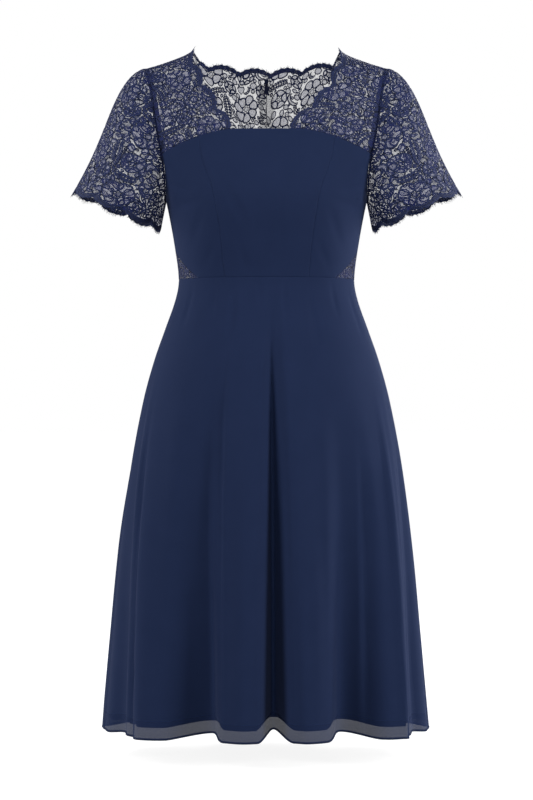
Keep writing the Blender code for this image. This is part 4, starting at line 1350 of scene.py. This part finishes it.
def zip_tape():
    length = steps_along(back_line(np.linspace(ZIP_TOP, ZIP_END, 80)), 0).sum()

    def along_back(x, y, z):
        drop = between(ZIP_TOP, ZIP_END, y / length)
        return back_line(drop) + back_normal(drop) * (z - COIL_DEPTH)[:, None] + x[:, None] * np.eye(3)[0]

    us, vs = np.linspace(-1, 1, 9), np.linspace(0, 1, 80)
    u, v = spread(us, vs)
    drop = between(ZIP_TOP, ZIP_END, v)
    points = back_line(drop) - back_normal(drop) * TAPE_DEPTH
    points[..., 0] += u * TAPE_HALF_WIDTH
    middle = np.array((0, 0, -0.30))
    mesh = cloth_mesh("zip_tape_weave", points, us, vs, (TAPE_HALF_WIDTH, length), middle)
    for polygon in mesh.polygons:
        close_woven = abs(polygon.center.x) < TAPE_FOLD and polygon.center.z < -TOP_CENTRE[BACK]
        polygon.material_index = int(close_woven)
    tape = finished("zip_tape_weave", mesh, [zip_tape_cloth, seam_tape], TAPE_THICKNESS)

    bm = bmesh.new()
    bmesh.ops.create_cone(
        bm, segments=6, cap_ends=True, radius1=COIL_RADIUS, radius2=COIL_RADIUS, depth=2 * COIL_HALF_WIDTH
    )
    bmesh.ops.bevel(
        bm, geom=[edge for edge in bm.edges if abs(edge.verts[0].co.z - edge.verts[1].co.z) < 1e-6],
        offset=0.0001, segments=1, profile=0.5, affect="EDGES", material=-1,
    )
    bmesh.ops.rotate(bm, verts=bm.verts, cent=(0, 0, 0), matrix=Matrix.Rotation(math.pi / 2, 3, "Y"))
    coil_mesh = in_rows(mesh_of("zip_tooth", bm), (1, int(length / COIL_PITCH)), (0, COIL_PITCH))
    lay(coil_mesh, along_back)
    coil_mesh.name = "zip_coil"
    coil = finished("zip_coil", coil_mesh, [zip_coil], replaces="zip_tape")


zip_tape()


def enamel(name, colour):
    """Stove enamel on die-cast metal: even satin colour, a faint orange peel, worn paler in scattered
    patches.
    """
    material, shader = new_material(name, {"Metallic": 0.25, "Coat Weight": 0.35, "Coat Roughness": 0.18})
    place = shade(material, "TexCoord", "Object", {})
    peel = shade(material, "TexNoise", "Fac", {"Vector": place, "Scale": 1900, "Detail": 2})
    rough = shade(material, "MapRange", "Result", {"Value": peel, "To Min": 0.28, "To Max": 0.46})
    bump = shade(material, "Bump", "Normal", {"Height": peel, "Strength": 0.08, "Distance": 0.0001})
    wear = shade(material, "TexNoise", "Fac", {"Vector": place, "Scale": 420, "Detail": 4})
    worn = shade(material, "ValToRGB", "Color", {"Fac": wear})
    sound, bare = worn.node.color_ramp.elements
    sound.position, sound.color = 0.58, (*colour, 1)
    bare.position, bare.color = 0.80, (*(2.6 * part for part in colour), 1)
    feed(material, shader, {"Roughness": rough, "Normal": bump, "Base Color": worn})
    return material


navy_enamel = enamel("navy_enamel", (0.0140, 0.0210, 0.0560))
for node in ("zip_slider", "zip_pull"):
    for slot in bpy.data.objects[node].material_slots:
        slot.material = navy_enamel

# ---------------------------------------------------------------- floor, light and camera
# A pale floor and a white backdrop that light nothing themselves. Soft lights stand at both sides, in
# front and behind, and the camera is level with the middle of the dress.

FLOOR_DROP = 1.170
BACKDROP_RADIUS = 40
CAMERA_DISTANCE, CAMERA_LEVEL, VIEW_HEIGHT = 4.0, -0.581, 1.328


def staged(name, bm, colour, painted_shadow_glow, far_glow, far):
    """A stage surface with some light of its own, which the dress doesn't pick up. Its glow is weaker the
    nearer it lies to the middle, out to `far`: a painted shadow.
    """
    mesh = mesh_of(name, bm)
    thing = bpy.data.objects.new(name, mesh)
    bpy.context.scene.collection.objects.link(thing)
    thing.visible_diffuse = thing.visible_glossy = thing.visible_shadow = False
    material, shader = new_material(name, {
        "Base Color": (colour, colour, colour, 1), "Roughness": 1.0, "Specular IOR Level": 0.0,
        "Emission Color": (1, 1, 1, 1),
    })
    place = shade(material, "TexCoord", "Object", {})
    away = shade(material, "VectorMath", "Value", {0: place}, operation="LENGTH")
    reach = {"From Min": far / 3, "From Max": far, "To Min": painted_shadow_glow, "To Max": far_glow}
    # painted shadow: the glow is weakest near the middle and rises to far_glow by `far`
    glow_with_painted_shadow = shade(
        material, "MapRange", "Result", {"Value": away, **reach}, interpolation_type="SMOOTHSTEP"
    )
    feed(material, shader, {"Emission Strength": glow_with_painted_shadow})
    mesh.materials.append(material)


floor_bm = bmesh.new()
bmesh.ops.create_circle(floor_bm, cap_ends=True, segments=64, radius=BACKDROP_RADIUS)
bmesh.ops.translate(floor_bm, verts=floor_bm.verts, vec=(0, 0, -FLOOR_DROP))
# the floor glows less near the dress than far off, a painted shadow round the dress; its pale diffuse
# colour also takes the real shadows
staged("floor", floor_bm, 0.30, 0.80, 1.0, 1.9)
backdrop_bm = bmesh.new()
bmesh.ops.create_uvsphere(backdrop_bm, u_segments=32, v_segments=16, radius=BACKDROP_RADIUS)
bmesh.ops.reverse_faces(backdrop_bm, faces=backdrop_bm.faces)
staged("backdrop", backdrop_bm, 0.0, 1.0, 1.0, 1.0)

world = bpy.data.worlds.new("studio")
world.use_nodes = True
world.node_tree.nodes["Background"].inputs["Color"].default_value = (1, 1, 1, 1)
world.node_tree.nodes["Background"].inputs["Strength"].default_value = 0.12
bpy.context.scene.world = world
bpy.context.scene.view_settings.view_transform = "Standard"


def softbox(name, spot, aim, size, watts):
    light = bpy.data.lights.new(name, "AREA")
    light.shape = "RECTANGLE"
    light.size, light.size_y = size
    light.energy = watts
    lamp = bpy.data.objects.new(name, light)
    lamp.location = spot
    lamp.rotation_euler = (Vector(aim) - Vector(spot)).to_track_quat("-Z", "Y").to_euler()
    bpy.context.scene.collection.objects.link(lamp)


softbox("left", (-2.5, -1.35, 0.3), (0, 0, -0.6), (1.0, 2.4), 48)
softbox("right", (2.5, -1.2, 0.2), (0, 0, -0.6), (1.0, 2.4), 58)
softbox("left_rim", (-2.6, 0.9, -0.3), (0, 0, -0.6), (0.8, 2.4), 26)
softbox("right_rim", (2.6, 0.9, -0.4), (0, 0, -0.6), (0.8, 2.4), 44)
softbox("front", (-0.4, -2.9, 1.2), (0, 0, -0.3), (1.4, 1.0), 14)
softbox("low_front", (0.2, -3.6, -0.3), (0, 0, -0.3), (1.2, 1.2), 20)
softbox("back", (0.6, 2.6, 1.2), (0, 0, -0.5), (1.6, 1.6), 50)

camera = bpy.data.cameras.new("camera")
camera.sensor_fit = "VERTICAL"
camera.sensor_height = 36
camera.lens = camera.sensor_height * CAMERA_DISTANCE / VIEW_HEIGHT
eye = bpy.data.objects.new("camera", camera)
eye.location = (0, -CAMERA_DISTANCE, CAMERA_LEVEL)
eye.rotation_euler = (math.pi / 2, 0, 0)
bpy.context.scene.collection.objects.link(eye)
bpy.context.scene.camera = eye
